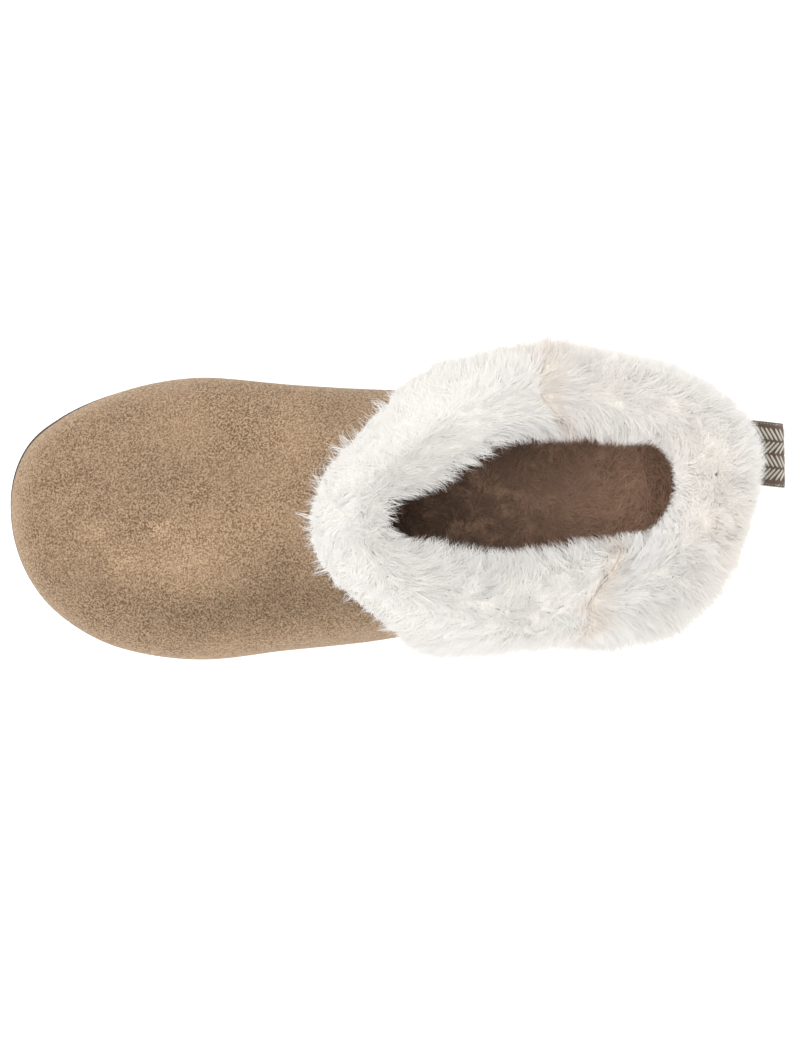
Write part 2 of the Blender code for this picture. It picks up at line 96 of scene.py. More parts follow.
# Each row is a ring: its tuck, then how far in and how far up it lies at the front, the side and the back.
RINGS = np.array((
    (1.00, 0.000, 0.000, 0.000, 0.000, 0.000, 0.000),
    (0.30, 0.000, 0.060, 0.000, 0.075, 0.000, 0.090),
    (0.00, 0.000, 0.135, 0.000, 0.165, 0.020, 0.190),
    (0.00, 0.014, 0.235, 0.004, 0.250, 0.050, 0.290),
    (0.00, 0.050, 0.330, 0.025, 0.325, 0.100, 0.390),
    (0.00, 0.120, 0.405, 0.070, 0.395, 0.170, 0.480),
    (0.00, 0.250, 0.475, 0.150, 0.470, 0.260, 0.570),
    (0.00, 0.420, 0.555, 0.290, 0.555, 0.380, 0.655),
    (0.00, 0.600, 0.655, 0.470, 0.650, 0.520, 0.740),
    (0.00, 0.760, 0.765, 0.660, 0.760, 0.680, 0.825),
    (0.00, 0.890, 0.880, 0.840, 0.880, 0.840, 0.915),
    (0.00, 1.000, 1.000, 1.000, 1.000, 1.000, 1.000),
))


def smooth(at, places, values):
    """A cubic between a table's points, whose slope at each is the harmonic mean of its neighbours'."""
    places, values = np.asarray(places, float), np.asarray(values, float)
    rise = np.diff(values) / np.diff(places)
    slope = np.zeros_like(values)
    same = rise[1:] * rise[:-1] > 0
    slope[1:-1][same] = 2 / (1 / rise[1:][same] + 1 / rise[:-1][same])
    slope[0], slope[-1] = rise[0], rise[-1]
    at = np.clip(at, places[0], places[-1])
    i = np.clip(np.searchsorted(places, at, side="right") - 1, 0, len(rise) - 1)
    width = places[i + 1] - places[i]
    t = (at - places[i]) / width
    start = (2 * t**3 - 3 * t**2 + 1) * values[i] + (t**3 - 2 * t**2 + t) * width * slope[i]
    end = (3 * t**2 - 2 * t**3) * values[i + 1] + (t**3 - t**2) * width * slope[i + 1]
    return start + end


def oval(angle, table, length, width, back):
    """x falls with the cosine of the angle, y is the table's middle plus its half width times the sine."""
    place = (1 + np.cos(angle)) / 2
    middle = smooth(place, table[:, 0], table[:, 1]) * width
    half = smooth(place, table[:, 0], table[:, 2]) * width
    return np.stack([back - place * length, middle + half * np.sin(angle)], -1)


def last_outline(angle):
    return oval(angle, LAST, SHOE_LENGTH, BALL_WIDTH, 0.0)


def collar_outline(angle):
    return oval(angle, COLLAR, COLLAR_LENGTH, COLLAR_WIDTH, -COLLAR_LEAN)


def unit(vector):
    return vector / np.maximum(np.linalg.norm(vector, axis=-1, keepdims=True), 1e-12)


def moved_out(angle, distance):
    """The last's outline moved outwards by distance, square to itself."""
    along = unit(last_outline(angle + 1e-4) - last_outline(angle - 1e-4))
    outwards = np.stack([-along[..., 1], along[..., 0]], -1)
    return last_outline(angle) + outwards * np.asarray(distance)[..., None]


def sole_bottom(x):
    """Height of the tread: flat under heel and ball, lifted at the toe, the arch and the heel's back."""
    lifts = (0.0035, 0.0, 0.0, 0.003, 0.0, 0.0, 0.009)
    return smooth(-x / SHOE_LENGTH, (0.0, 0.075, 0.30, 0.44, 0.58, 0.84, 1.0), lifts)


def sole_top(x):
    """Height of the face that the upper and the insole stand on."""
    return smooth(-x / SHOE_LENGTH, (0.0, 0.25, 0.66, 1.0), (0.02205, 0.021, 0.014, 0.02165))


def by_direction(angle, front, side, back):
    """Front times the cosine squared ahead, back times it behind, and side with what is left."""
    ahead = np.clip(np.cos(angle), 0, 1) ** 2
    behind = np.clip(-np.cos(angle), 0, 1) ** 2
    return front * ahead + back * behind + side * (1 - ahead - behind)


def upper_surface(angle, rise):
    """Plan: outline to collar by the ring's share in. Height: sole to collar by the ring's share up."""
    angle, rise = np.broadcast_arrays(np.asarray(angle, float), np.asarray(rise, float))
    levels = np.linspace(0, 1, len(RINGS))
    tuck, *ring = (smooth(rise, levels, RINGS[:, i]) for i in range(7))
    inwards = by_direction(angle, ring[0], ring[2], ring[4])[..., None]
    up = by_direction(angle, ring[1], ring[3], ring[5])
    plan = moved_out(angle, -tuck * FEATHER_TUCK) * (1 - inwards) + collar_outline(angle) * inwards
    floor = sole_top(last_outline(angle)[..., 0]) + SEAT_GAP
    height = floor + up * (by_direction(angle, *COLLAR_HEIGHTS) - floor)
    return np.concatenate([plan, height[..., None]], -1)


def upper_frame(angle, rise):
    """Point, outward normal and upward tangent, from differences over a small step each way."""
    step = 1e-3
    around = upper_surface(angle + step, rise) - upper_surface(angle - step, rise)
    higher, lower = np.minimum(rise + step, 1.0), np.maximum(rise - step, 0.0)
    upwards = unit(upper_surface(angle, higher) - upper_surface(angle, lower))
    return upper_surface(angle, rise), unit(np.cross(upwards, around)), upwards


def by_table(angle, table):
    """A table's value at this many degrees from the toe, the same on both sides."""
    away = np.degrees(np.abs((angle + math.pi) % (2 * math.pi) - math.pi))
    return smooth(away, *zip(*table))


def round_table(angle, table):
    """A table's value at this many degrees all the way round from the toe by the medial side."""
    return smooth(np.degrees(angle) % 360, *zip(*table))


# %% [markdown]
# ## The sole's rim sets the place
#
# The solid model was moved so that its box stands over the origin. The outsole's rim is worked out here in
# the last's own frame, and the difference between its lowest corner and the node's gives that move.

# %% Place of the last in the row's frame
RIM_OVERHANG = 0.0022
EDGE_ROUND = 0.003
SIDE_STEP = 0.0012


def sole_margin(angle):
    """How far the sole's rim stands out beyond the last, most at the toe's medial side."""
    ahead = np.clip(np.cos(angle), 0, 1) ** 1.5
    medial_toe = np.clip(np.sin(angle), 0, 1) * ahead
    return RIM_OVERHANG * (-0.9 + 1.5 * ahead + 0.9 * medial_toe + 0.5 * np.clip(-np.cos(angle), 0, 1))


coarse = 2 * math.pi * np.arange(60) / 60
own_corner = moved_out(coarse, sole_margin(coarse)).min(0)
SHIFT = np.array([*(np.array(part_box("outsole")[0][:2]) - own_corner), 0.0])
print("the heel's back is at x =", round(float(SHIFT[0]), 4))

# %% [markdown]
# ## Camera, floor and light
#
# The photo looks straight down. Its scale at the sole gives the focal length for a camera 1.5 m up. The light
# is a white room and one large soft lamp, nearly overhead.

# %% Camera, floor and light
FOCAL_PIXELS = 3944
IMAGE_HEIGHT = 1042
SENSOR = 36.0
CAMERA_PLACE = (-0.1164, -0.0072, 1.5)
CAMERA_ROLL = math.radians(1.4)


def linear(code):
    """An sRGB hex colour as the linear RGBA that Blender takes."""
    srgb = np.array([int(code[i:i + 2], 16) / 255 for i in (1, 3, 5)])
    rgb = np.where(srgb <= 0.04045, srgb / 12.92, ((srgb + 0.055) / 1.055) ** 2.4)
    return (*map(float, rgb), 1.0)


def rgb(code):
    return np.array(linear(code)[:3])


def blend(first, second, share):
    return first * (1 - share) + second * share


def add(tree, kind, inputs=None, **settings):
    """Adds a node with these settings, and links or sets each input by its name or number."""
    made = tree.nodes.new(kind)
    for name, value in settings.items():
        setattr(made, name, value)
    for name, value in (inputs or {}).items():
        if isinstance(value, bpy.types.NodeSocket):
            tree.links.new(value, made.inputs[name])
        else:
            made.inputs[name].default_value = value
    return made


def principled(name, values):
    """A new material and its Principled shader, with these uniform values on its sockets."""
    made = bpy.data.materials.new(name)
    made.use_nodes = True
    shader = made.node_tree.nodes["Principled BSDF"]
    for socket, value in values.items():
        shader.inputs[socket].default_value = value
    return made, made.node_tree, shader


scene = bpy.context.scene
lens = bpy.data.cameras.new("camera")
lens.sensor_width = SENSOR
lens.lens = FOCAL_PIXELS / IMAGE_HEIGHT * SENSOR
camera = bpy.data.objects.new("camera", lens)
camera.location = np.array(CAMERA_PLACE) + SHIFT
camera.rotation_euler = (0, 0, -CAMERA_ROLL)
scene.collection.objects.link(camera)
scene.camera = camera
scene.view_settings.view_transform = "Standard"

world = bpy.data.worlds.new("white_room")
world.use_nodes = True
world.node_tree.nodes["Background"].inputs["Color"].default_value = linear("#FFFFFF")
world.node_tree.nodes["Background"].inputs["Strength"].default_value = 0.84
scene.world = world

lamp = bpy.data.lights.new("soft_lamp", "AREA")
lamp.energy = 21
lamp.size = 1.1
lamp_object = bpy.data.objects.new("soft_lamp", lamp)
lamp_object.location = (-0.20, 0.05, 1.75)
lamp_object.rotation_euler = (math.radians(-2), math.radians(-6.5), 0)
scene.collection.objects.link(lamp_object)

floor_mesh = bpy.data.meshes.new("floor")
floor_mesh.from_pydata([(-4, -4, 0), (4, -4, 0), (4, 4, 0), (-4, 4, 0)], [], [(0, 1, 2, 3)])
floor = bpy.data.objects.new("floor", floor_mesh)
floor.location.z = -0.0002
scene.collection.objects.link(floor)
paper, _, _ = principled("floor_matt_paper", {
    "Base Color": linear("#F6F6F6"),
    "Roughness": 1.0,
    "Specular IOR Level": 0.0,
    "Emission Color": linear("#FFFFFF"),
    "Emission Strength": 0.45,
})
floor_mesh.materials.append(paper)

# %% [markdown]
# ## Mesh helpers
#
# A mesh is made from whole arrays. A ribbon is a strand's centre line with a point on each side, tapering to
# one point at its tip. A capsule is one small thread or stitch, copied to many places by its own axes.


# %% Mesh helpers
def piece(name, points, faces, materials, replaces=(), colours=None, indices=None, normals=None):
    """A smooth mesh object at the origin from arrays of points and of faces, riding on the root body."""
    mesh = bpy.data.meshes.new(name)
    sizes = np.concatenate([np.full(len(f), f.shape[1]) for f in faces])
    loops = np.concatenate([f.ravel() for f in faces]).astype(np.int32)
    mesh.vertices.add(len(points))
    mesh.vertices.foreach_set("co", (points + SHIFT).astype(np.float32).ravel())
    mesh.loops.add(len(loops))
    mesh.loops.foreach_set("vertex_index", loops)
    mesh.polygons.add(len(sizes))
    mesh.polygons.foreach_set("loop_start", np.concatenate([[0], np.cumsum(sizes)[:-1]]).astype(np.int32))
    if indices is not None:
        mesh.polygons.foreach_set("material_index", indices.astype(np.int32))
    mesh.update(calc_edges=True)
    mesh.validate()
    mesh.shade_smooth()
    if colours is not None:
        layer = mesh.color_attributes.new("tint", "FLOAT_COLOR", "POINT")
        rgba = np.column_stack([colours, np.ones(len(colours))])
        layer.data.foreach_set("color", rgba.astype(np.float32).ravel())
    if normals is not None:
        mesh.normals_split_custom_set_from_vertices(normals.astype(np.float32))
    for material in materials:
        mesh.materials.append(material)
    made = bpy.data.objects.new(name, mesh)
    scene.collection.objects.link(made)
    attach(made, "root")
    if replaces:
        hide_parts(*replaces)
    print(name, int((sizes - 2).sum()), "triangles")
    return made


def grid_faces(rows, columns, closed=False, first=0, flip=False):
    """Quads between neighbours of a grid of rows times columns, whose rows may close on themselves."""
    r, c = np.meshgrid(np.arange(rows - 1), np.arange(columns if closed else columns - 1), indexing="ij")
    d = (c + 1) % columns
    quads = np.stack([r * columns + c, r * columns + d, (r + 1) * columns + d, (r + 1) * columns + c], -1)
    quads = quads.reshape(-1, 4) + first
    return quads[:, ::-1] if flip else quads


def shell(outer, inner, closed):
    """Points and faces of a closed wall between two grids, with its rims."""
    rows, columns = outer.shape[:2]
    points = np.concatenate([outer.reshape(-1, 3), inner.reshape(-1, 3)])
    half = rows * columns
    faces = [grid_faces(rows, columns, closed), grid_faces(rows, columns, closed, half, True)]
    c = np.arange(columns if closed else columns - 1)
    d = (c + 1) % columns
    last = (rows - 1) * columns
    faces.append(np.stack([c + half, d + half, d, c], -1))
    faces.append(np.stack([last + c, last + d, last + d + half, last + c + half], -1))
    if not closed:
        r = np.arange(rows - 1) * columns
        e = r + columns - 1
        faces.append(np.stack([r, r + columns, r + columns + half, r + half], -1))
        faces.append(np.stack([e + half, e + columns + half, e + columns, e], -1))
    return points, faces


def ribbons(lines, across, width, tint, tips, facing):
    """Centre lines (n, k, 3) widened by the unit vectors across, with colours from root to tip.

    Each strand is shaded by the way its fur faces, so the fur takes the light as one soft body. Its own face
    is turned to that side too: its sign is that of (across x along) . facing.
    """
    n, k = lines.shape[:2]
    face = np.cross(across[:, 1], lines[:, 2] - lines[:, 1])
    across = across * np.where((face * facing).sum(-1) < 0, -1, 1)[:, None, None]
    taper = np.linspace(1.0, 0.45, k - 1)
    half = (width[:, None] * taper)[..., None] * across[:, :-1] / 2
    body = np.stack([lines[:, :-1] - half, lines[:, :-1] + half], 2).reshape(n, 2 * k - 2, 3)
    points = np.concatenate([body, lines[:, -1:]], 1).reshape(-1, 3)
    start = (np.arange(n) * (2 * k - 1))[:, None]
    quads = np.concatenate([start + 2 * j + np.array([0, 1, 3, 2]) for j in range(k - 2)])
    ends = start + np.array([2 * k - 4, 2 * k - 3, 2 * k - 2])
    along = np.concatenate([np.repeat(np.linspace(0, 1, k)[:-1], 2), [1.0]])[None, :, None]
    colours = (tint[:, None] * (1 - along) + tips[:, None] * along).reshape(-1, 3)
    return points, [quads, ends], colours, np.repeat(facing, 2 * k - 1, axis=0)


def capsules(centres, along, outwards, length, radius, sides=8, rings=7):
    """One rounded thread for each centre: an ellipsoid-ended rod along one axis, flattened on its cloth."""
    side = np.cross(outwards, along)
    v = np.linspace(0, math.pi, rings)
    u = 2 * math.pi * np.arange(sides) / sides
    reach = -np.cos(v)[:, None] * np.ones(sides)
    girth = np.sin(v)[:, None] ** 0.6
    local = np.stack([reach * length / 2, girth * np.cos(u) * radius, girth * np.sin(u) * radius * 0.8], -1)
    local = local.reshape(-1, 3)
    frames = np.stack([along, side, outwards], 1)
    points = (centres[:, None] + np.einsum("pk,nkj->npj", local, frames)).reshape(-1, 3)
    quads = grid_faces(rings, sides, closed=True)
    step = rings * sides
    return points, [(quads[None] + (np.arange(len(centres)) * step)[:, None, None]).reshape(-1, 4)]


def sample(grid, u, t):
    """A grid's value between its points: u goes round in radians, t from 0 to 1 and straight on beyond."""
    rows, columns = grid.shape[:2]
    a = (u / (2 * math.pi) * columns) % columns
    i = np.floor(a).astype(int) % columns
    b = t * (rows - 1)
    j = np.clip(np.floor(b).astype(int), 0, rows - 2)
    fu, ft = (a - np.floor(a))[..., None], (b - j)[..., None]
    low = grid[j, i] * (1 - fu) + grid[j, (i + 1) % columns] * fu
    high = grid[j + 1, i] * (1 - fu) + grid[j + 1, (i + 1) % columns] * fu
    return low * (1 - ft) + high * ft


def waves(a, b, seed, scale):
    """A slow random field from -1 to 1: the mean of six sines of the two numbers, in seeded directions."""
    turn = np.random.default_rng(seed)
    total = 0
    for _ in range(6):
        way, phase, rate = turn.uniform(0, 2 * math.pi), turn.uniform(0, 2 * math.pi), turn.uniform(0.6, 1.6)
        total = total + np.sin((a * math.cos(way) + b * math.sin(way)) * rate * scale + phase)
    return total / 3


def across_of(lines, facing, twist):
    """Unit vectors square to each line and to the way its fur faces, turned about the line by twist."""
    along = unit(np.gradient(lines, axis=1))
    flat = unit(np.cross(along, facing[:, None]))
    up = np.cross(flat, along)
    return flat * np.cos(twist)[:, None, None] + up * np.sin(twist)[:, None, None]


# %% [markdown]
# ## Materials
#
# Suede is a fine grain over brushed patches, with a sheen from its raised nap. Fur and pile take their colour
# from the strands themselves, darker at the root. Rubber is matt with a faint mottle, and the tape is woven.

# %% Materials
def noise(tree, size, detail=2.0, roughness=0.5, stretch=(1, 1, 1), distortion=0.0):
    """A noise whose features are about this size, in the piece's own coordinates."""
    place = add(tree, "ShaderNodeTexCoord").outputs["Object"]
    scaled = add(tree, "ShaderNodeMapping", {"Vector": place, "Scale": stretch}).outputs[0]
    made = add(tree, "ShaderNodeTexNoise", {
        "Vector": scaled,
        "Scale": 1 / size,
        "Detail": detail,
        "Roughness": roughness,
        "Distortion": distortion,
    })
    return made.outputs["Fac"]


def spread(tree, value, low, high, most=1.0):
    """The value taken from 0 at low to most at high."""
    inputs = {"Value": value, "From Min": low, "From Max": high, "To Max": most}
    return add(tree, "ShaderNodeMapRange", inputs).outputs[0]


def mix(tree, factor, first, second, kind="MIX"):
    made = add(tree, "ShaderNodeMix", {0: factor, 6: first, 7: second}, data_type="RGBA", blend_type=kind)
    return made.outputs[2]


def bump(tree, shader, layers):
    """One bump for each pair of height and depth in metres, each laid over the one before."""
    normal = None
    for height, depth in layers:
        inputs = {"Height": height, "Distance": depth, "Strength": 1.0}
        if normal is not None:
            inputs["Normal"] = normal
        normal = add(tree, "ShaderNodeBump", inputs).outputs[0]
    tree.links.new(normal, shader.inputs["Normal"])


def suede_material():
    """Brushed suede: 0.7 mm grain, 3 mm tufts and 16 mm patches of nap, times the patches listed one by one.
    """
    made, tree, shader = principled("suede_brushed", {
        "Roughness": 0.95,
        "Specular IOR Level": 0.1,
        "Sheen Weight": 0.3,
        "Sheen Roughness": 0.4,
        "Sheen Tint": linear("#F3E2CC"),
    })
    grain = noise(tree, 0.0007, 3.0, 0.7)
    tuft = noise(tree, 0.003, 2.0, 0.6, (1.0, 1.3, 1.0))
    patch = noise(tree, 0.016, 2.0, 0.5, (1.0, 1.0, 1.0), 0.5)
    patches_and_painted_light = add(tree, "ShaderNodeVertexColor", layer_name="tint").outputs["Color"]
    nap = mix(tree, spread(tree, grain, 0.40, 0.60), linear("#654F3B"), linear("#B1977B"))
    nap = mix(tree, spread(tree, tuft, 0.45, 0.70, 0.22), nap, linear("#66513D"))
    nap = mix(tree, spread(tree, patch, 0.40, 0.65, 0.22), nap, linear("#AA9076"))
    # The tint per point is the nap's patches, with painted shade along the lateral side and a painted sheen
    # at the rim.
    tree.links.new(mix(tree, 1.0, nap, patches_and_painted_light, "MULTIPLY"), shader.inputs["Base Color"])
    bump(tree, shader, [(patch, 0.0006), (tuft, 0.0004), (grain, 0.0005)])
    return made


def strand_material(name, roughness, sheen):
    """Spun fibre whose colour is the strand's own tint."""
    made, tree, shader = principled(name, {
        "Roughness": roughness,
        "Specular IOR Level": 0.25,
        "Sheen Weight": sheen,
        "Sheen Roughness": 0.5,
    })
    colour = add(tree, "ShaderNodeVertexColor", layer_name="tint").outputs["Color"]
    tree.links.new(colour, shader.inputs["Base Color"])
    return made


def pile_material():
    """Brown pile cloth under the strands: curled clumps about 5 mm wide."""
    made, tree, shader = principled("pile_knitted_brown", {"Roughness": 1.0, "Specular IOR Level": 0.1})
    clump = noise(tree, 0.005, 3.0, 0.65, (1, 1, 1), 2.0)
    fibre = noise(tree, 0.0012, 2.0, 0.6)
    colour = mix(tree, spread(tree, clump, 0.3, 0.7), linear("#6F5546"), linear("#9B7D68"))
    colour = mix(tree, spread(tree, fibre, 0.3, 0.7), colour, linear("#A3856F"))
    tree.links.new(colour, shader.inputs["Base Color"])
    bump(tree, shader, [(clump, 0.002), (fibre, 0.0006)])
    return made


def backing_material():
    """The fur's knitted backing: cream, with a tan skin where the fur parts."""
    made, tree, shader = principled("fur_knitted_backing", {"Roughness": 1.0, "Specular IOR Level": 0.1})
    fibre = noise(tree, 0.0015, 3.0, 0.6, (1, 1, 1), 1.0)
    tint = add(tree, "ShaderNodeVertexColor", layer_name="tint").outputs["Color"]
    shaded = mix(tree, 1.0, tint, linear("#F5F2EE"), "MULTIPLY")
    tree.links.new(mix(tree, spread(tree, fibre, 0.3, 0.7), shaded, tint), shader.inputs["Base Color"])
    bump(tree, shader, [(fibre, 0.0006)])
    return made


def rubber_material():
    """Moulded rubber: a dusty mottle over dark brown, finely grained."""
    made, tree, shader = principled("rubber_moulded", {"Specular IOR Level": 0.35})
    mottle = noise(tree, 0.009, 4.0, 0.6)
    grain = noise(tree, 0.0006, 2.0, 0.6)
    colour = mix(tree, spread(tree, mottle, 0.3, 0.75), linear("#3F322A"), linear("#52443A"))
    tree.links.new(colour, shader.inputs["Base Color"])
    rough = add(tree, "ShaderNodeMapRange", {"Value": mottle, "To Min": 0.6, "To Max": 0.85}).outputs[0]
    tree.links.new(rough, shader.inputs["Roughness"])
    bump(tree, shader, [(grain, 0.00012), (mottle, 0.0002)])
    return made


def thread_material(name, dark, light, size):
    """Twisted thread: a fine slanting ply over two close colours."""
    made, tree, shader = principled(name, {"Roughness": 0.8, "Sheen Weight": 0.2, "Specular IOR Level": 0.3})
    ply = add(tree, "ShaderNodeTexWave", {
        "Vector": add(tree, "ShaderNodeTexCoord").outputs["Object"], "Scale": 1 / size, "Distortion": 2.0,
    }, bands_direction="DIAGONAL").outputs["Fac"]
    fuzz = noise(tree, size * 1.5, 2.0)
    colour = mix(tree, spread(tree, ply, 0.1, 0.9), linear(dark), linear(light))
    tree.links.new(colour, shader.inputs["Base Color"])
    bump(tree, shader, [(ply, 0.00015), (fuzz, 0.0002)])
    return made


SUEDE = suede_material()
FUR = strand_material("fur_long_cream", 0.75, 0.25)
PILE_STRANDS = strand_material("pile_curled_brown", 0.9, 0.3)
PILE = pile_material()
BACKING = backing_material()
RUBBER = rubber_material()
TAPE = thread_material("tape_woven_brown", "#57463A", "#7C6857", 0.0006)
CREAM_THREAD = thread_material("thread_spun_cream", "#CFC8BB", "#F1ECE2", 0.0005)
TAN_THREAD = thread_material("thread_spun_tan", "#92745A", "#BF9F80", 0.0005)
print("materials:", len(bpy.data.materials))

# %% [markdown]
# ## Suede upper
#
# The outside is the upper's formula on a fine grid. The nap's soft dents are bells of a few millimetres,
# placed on the toe as the photo shows them. The inside is the same grid moved in by the wall.

# %% Suede upper
UPPER_AROUND = 250
UPPER_RISES = 64
# Each row: x and y in the last's frame, radius, and height (a trough where it is below zero).
DENTS = (
    (-0.223, -0.020, 0.010, 0.0006),
    (-0.209, -0.031, 0.008, 0.0005),
    (-0.214, -0.006, 0.013, -0.0005),
    (-0.175, 0.002, 0.009, 0.0005),
    (-0.190, -0.036, 0.016, -0.0007),
    (-0.236, 0.012, 0.014, -0.0005),
    (-0.160, -0.030, 0.014, 0.0005),
    (-0.148, 0.020, 0.012, -0.0005),
    (-0.200, 0.024, 0.016, 0.0005),
)


def dented(angle, rise):
    """The upper's outside with each dent's bell added along the normal, on its upper side only."""
    point, normal, upwards = upper_frame(angle, rise)
    facing_up = np.clip(normal[..., 2], 0, 1)
    height = 0
    for x, y, radius, size in DENTS:
        away = ((point[..., 0] - x) ** 2 + (point[..., 1] - y) ** 2) / radius**2
        height = height + size * np.exp(-away) * facing_up
    return point + normal * np.asarray(height)[..., None], normal


# Each row: x and y in the last's frame, radius, and how much lighter the brushed nap is there.
NAP = (
    (-0.2178, -0.0199, 0.0065, 0.27),
    (-0.2040, -0.0080, 0.0035, 0.32),
    (-0.2276, -0.0083, 0.0040, 0.24),
    (-0.1948, -0.0200, 0.0130, 0.22),
    (-0.1698, -0.0065, 0.0140, 0.12),
    (-0.1530, 0.0260, 0.0110, 0.12),
    (-0.1940, 0.0350, 0.0120, 0.10),
    (-0.1620, -0.0230, 0.0120, -0.14),
    (-0.2270, -0.0270, 0.0080, -0.10),
    (-0.1745, 0.0080, 0.0100, -0.08),
    (-0.2050, 0.0120, 0.0120, -0.08),
    (-0.2410, -0.0260, 0.0070, -0.08),
    (-0.1400, 0.0330, 0.0080, -0.10),
)
# Painted light: a darker band where the lateral side turns down, partly laid nap and partly painted shade, a
# painted lighter side below it, and a painted sheen round the rim.
BAND_INSET, BAND_WIDTH, BAND_NAP_AND_PAINTED_SHADE = 0.018, 0.009, 0.25
SIDE_WIDTH, SIDE_PAINTED_LIGHT = 0.009, 0.18
RIM_WIDTH, RIM_PAINTED_SHEEN = 0.0065, 0.22
FADE_START, FADE_LENGTH = -0.232, 0.045


def nap_and_painted_light(angle, point):
    """1, plus each nap patch's bell and a painted sheen's bell round the rim, less a band's bell along the
    lateral side, partly laid nap and partly painted shade.

    The band and the painted lighter side below it fade out towards the toe, where the nap lies evenly.
    """
    light = np.ones(point.shape[:-1])
    for x, y, radius, size in NAP:
        away = ((point[..., 0] - x) ** 2 + (point[..., 1] - y) ** 2) / radius**2
        light = light + size * np.exp(-away)
    edge = last_outline(np.linspace(-math.pi, 0, 200))[::-1]
    inset = point[..., 1] - np.interp(point[..., 0], edge[:, 0], edge[:, 1])
    fade = np.clip((point[..., 0] - FADE_START) / FADE_LENGTH, 0, 1)
    light = light - BAND_NAP_AND_PAINTED_SHADE * fade * np.exp(-(((inset - BAND_INSET) / BAND_WIDTH) ** 2))
    light = light + SIDE_PAINTED_LIGHT * fade * np.exp(-((inset / SIDE_WIDTH) ** 2))
    rim = np.linalg.norm(last_outline(angle) - point[..., :2], axis=-1)
    return light + RIM_PAINTED_SHEEN * np.exp(-((rim / RIM_WIDTH) ** 2))


u = 2 * math.pi * np.arange(UPPER_AROUND) / UPPER_AROUND
v = np.linspace(0, 1, UPPER_RISES)
skin, skin_normals = dented(u[None, :], v[:, None])
points, faces = shell(skin, skin - skin_normals * WALL, closed=True)
inside = np.concatenate([np.full(len(f), int(i == 1)) for i, f in enumerate(faces)])
light = np.tile(nap_and_painted_light(np.broadcast_to(u, skin.shape[:2]), skin).ravel(), 2)
piece("suede_upper", points, faces, [SUEDE, PILE], ("upper",), indices=inside,
      colours=np.repeat(light[:, None], 3, axis=1))

# %% [markdown]
# ## Outsole
#
# The wall is a stack of rings with a step in its side. The tread's grooves are worked out from the place
# along the foot and fade out up the wall, so each lug's edge is moulded round.

# %% Outsole
SOLE_AROUND = 760
SOLE_ACROSS = 16
GROOVE_PITCH = 0.0115
GROOVE_DEPTH = 0.0022
GROOVE_STARTS = ((-0.085, 5), (-0.555, 8))
# Each row: share of the edge round and of the side step that a level lies in, and its share of the height.
SOLE_LEVELS = np.array((
    (1.00, 0.0, 0.00),
    (0.55, 0.0, 0.03),
    (0.25, 0.0, 0.10),
    (0.00, 0.0, 0.24),
    (0.00, 0.0, 0.38),
    (0.00, 1.0, 0.42),
    (0.00, 1.0, 0.54),
    (0.00, 0.0, 0.60),
    (0.00, 0.0, 0.90),
    (0.00, 0.4, 0.96),
    (0.00, 1.0, 1.00),
))


def groove(x):
    """Depth of the tread's grooves at x: a flat-bottomed trough with eased sides at each place."""
    depth = 0
    for first, count in GROOVE_STARTS:
        for i in range(count):
            away = np.abs(x - first * SHOE_LENGTH + i * GROOVE_PITCH)
            depth = depth + np.clip((0.0021 - away) / 0.0011, 0, 1)
    return GROOVE_DEPTH * depth


u = 2 * math.pi * np.arange(SOLE_AROUND) / SOLE_AROUND
levels = []
for inward, step, height in SOLE_LEVELS:
    plan = moved_out(u, sole_margin(u) - inward * EDGE_ROUND - step * SIDE_STEP)
    low = sole_bottom(plan[:, 0])
    z = low + height * (sole_top(plan[:, 0]) - low) + groove(plan[:, 0]) * np.clip(1 - height / 0.2, 0, 1)
    levels.append(np.column_stack([plan, z]))
wall = np.array(levels)


def cap(ring, relief):
    """Rows of points across a ring, from its toe to its heel, lifted by relief."""
    half = SOLE_AROUND // 2
    medial, lateral = ring[1:half], ring[:half:-1]
    share = np.linspace(0, 1, SOLE_ACROSS)[None, :, None]
    rows = medial[:, None] * (1 - share) + lateral[:, None] * share
    rows[..., 2] = relief(rows[..., 0])
    return rows


bottom = cap(wall[0], lambda x: sole_bottom(x) + groove(x))
top = cap(wall[-1], sole_top)
rows = bottom.shape[0]
first_bottom = wall.shape[0] * SOLE_AROUND
first_top = first_bottom + rows * SOLE_ACROSS
points = np.concatenate([wall.reshape(-1, 3), bottom.reshape(-1, 3), top.reshape(-1, 3)])
faces = [
    grid_faces(len(SOLE_LEVELS), SOLE_AROUND, closed=True),
    grid_faces(rows, SOLE_ACROSS, first=first_bottom),
    grid_faces(rows, SOLE_ACROSS, first=first_top, flip=True),
]
piece("outsole_moulded", points, faces, [RUBBER], ("outsole",))

# %% [markdown]
# ## Insole and brown pile
#
# The insole is a low slab. Its pile and the lining's are short ribbons in clumps. Their direction turns
# slowly from place to place, which gives the swirls that the photo shows inside. The pile is darker towards
# the toe, where little light comes in.

# %% Insole and lining pile
INSOLE_THICKNESS = 0.005
INSOLE_INSET = FEATHER_TUCK + WALL + 0.0012
PILE_LENGTH = 0.0062
PILE_ROOM = ((-0.170, -0.006), (-0.05, 0.045))
PILE_CLUMPS = 2600
PILE_MARGIN = 0.001
INSOLE_AROUND = 240
# Where the lining is in reach of the light: height in the shoe, and how much lighter its pile is there.
WALL_START, WALL_LIGHT, MEDIAL_LIGHT = 0.035, 1.8, 1.35

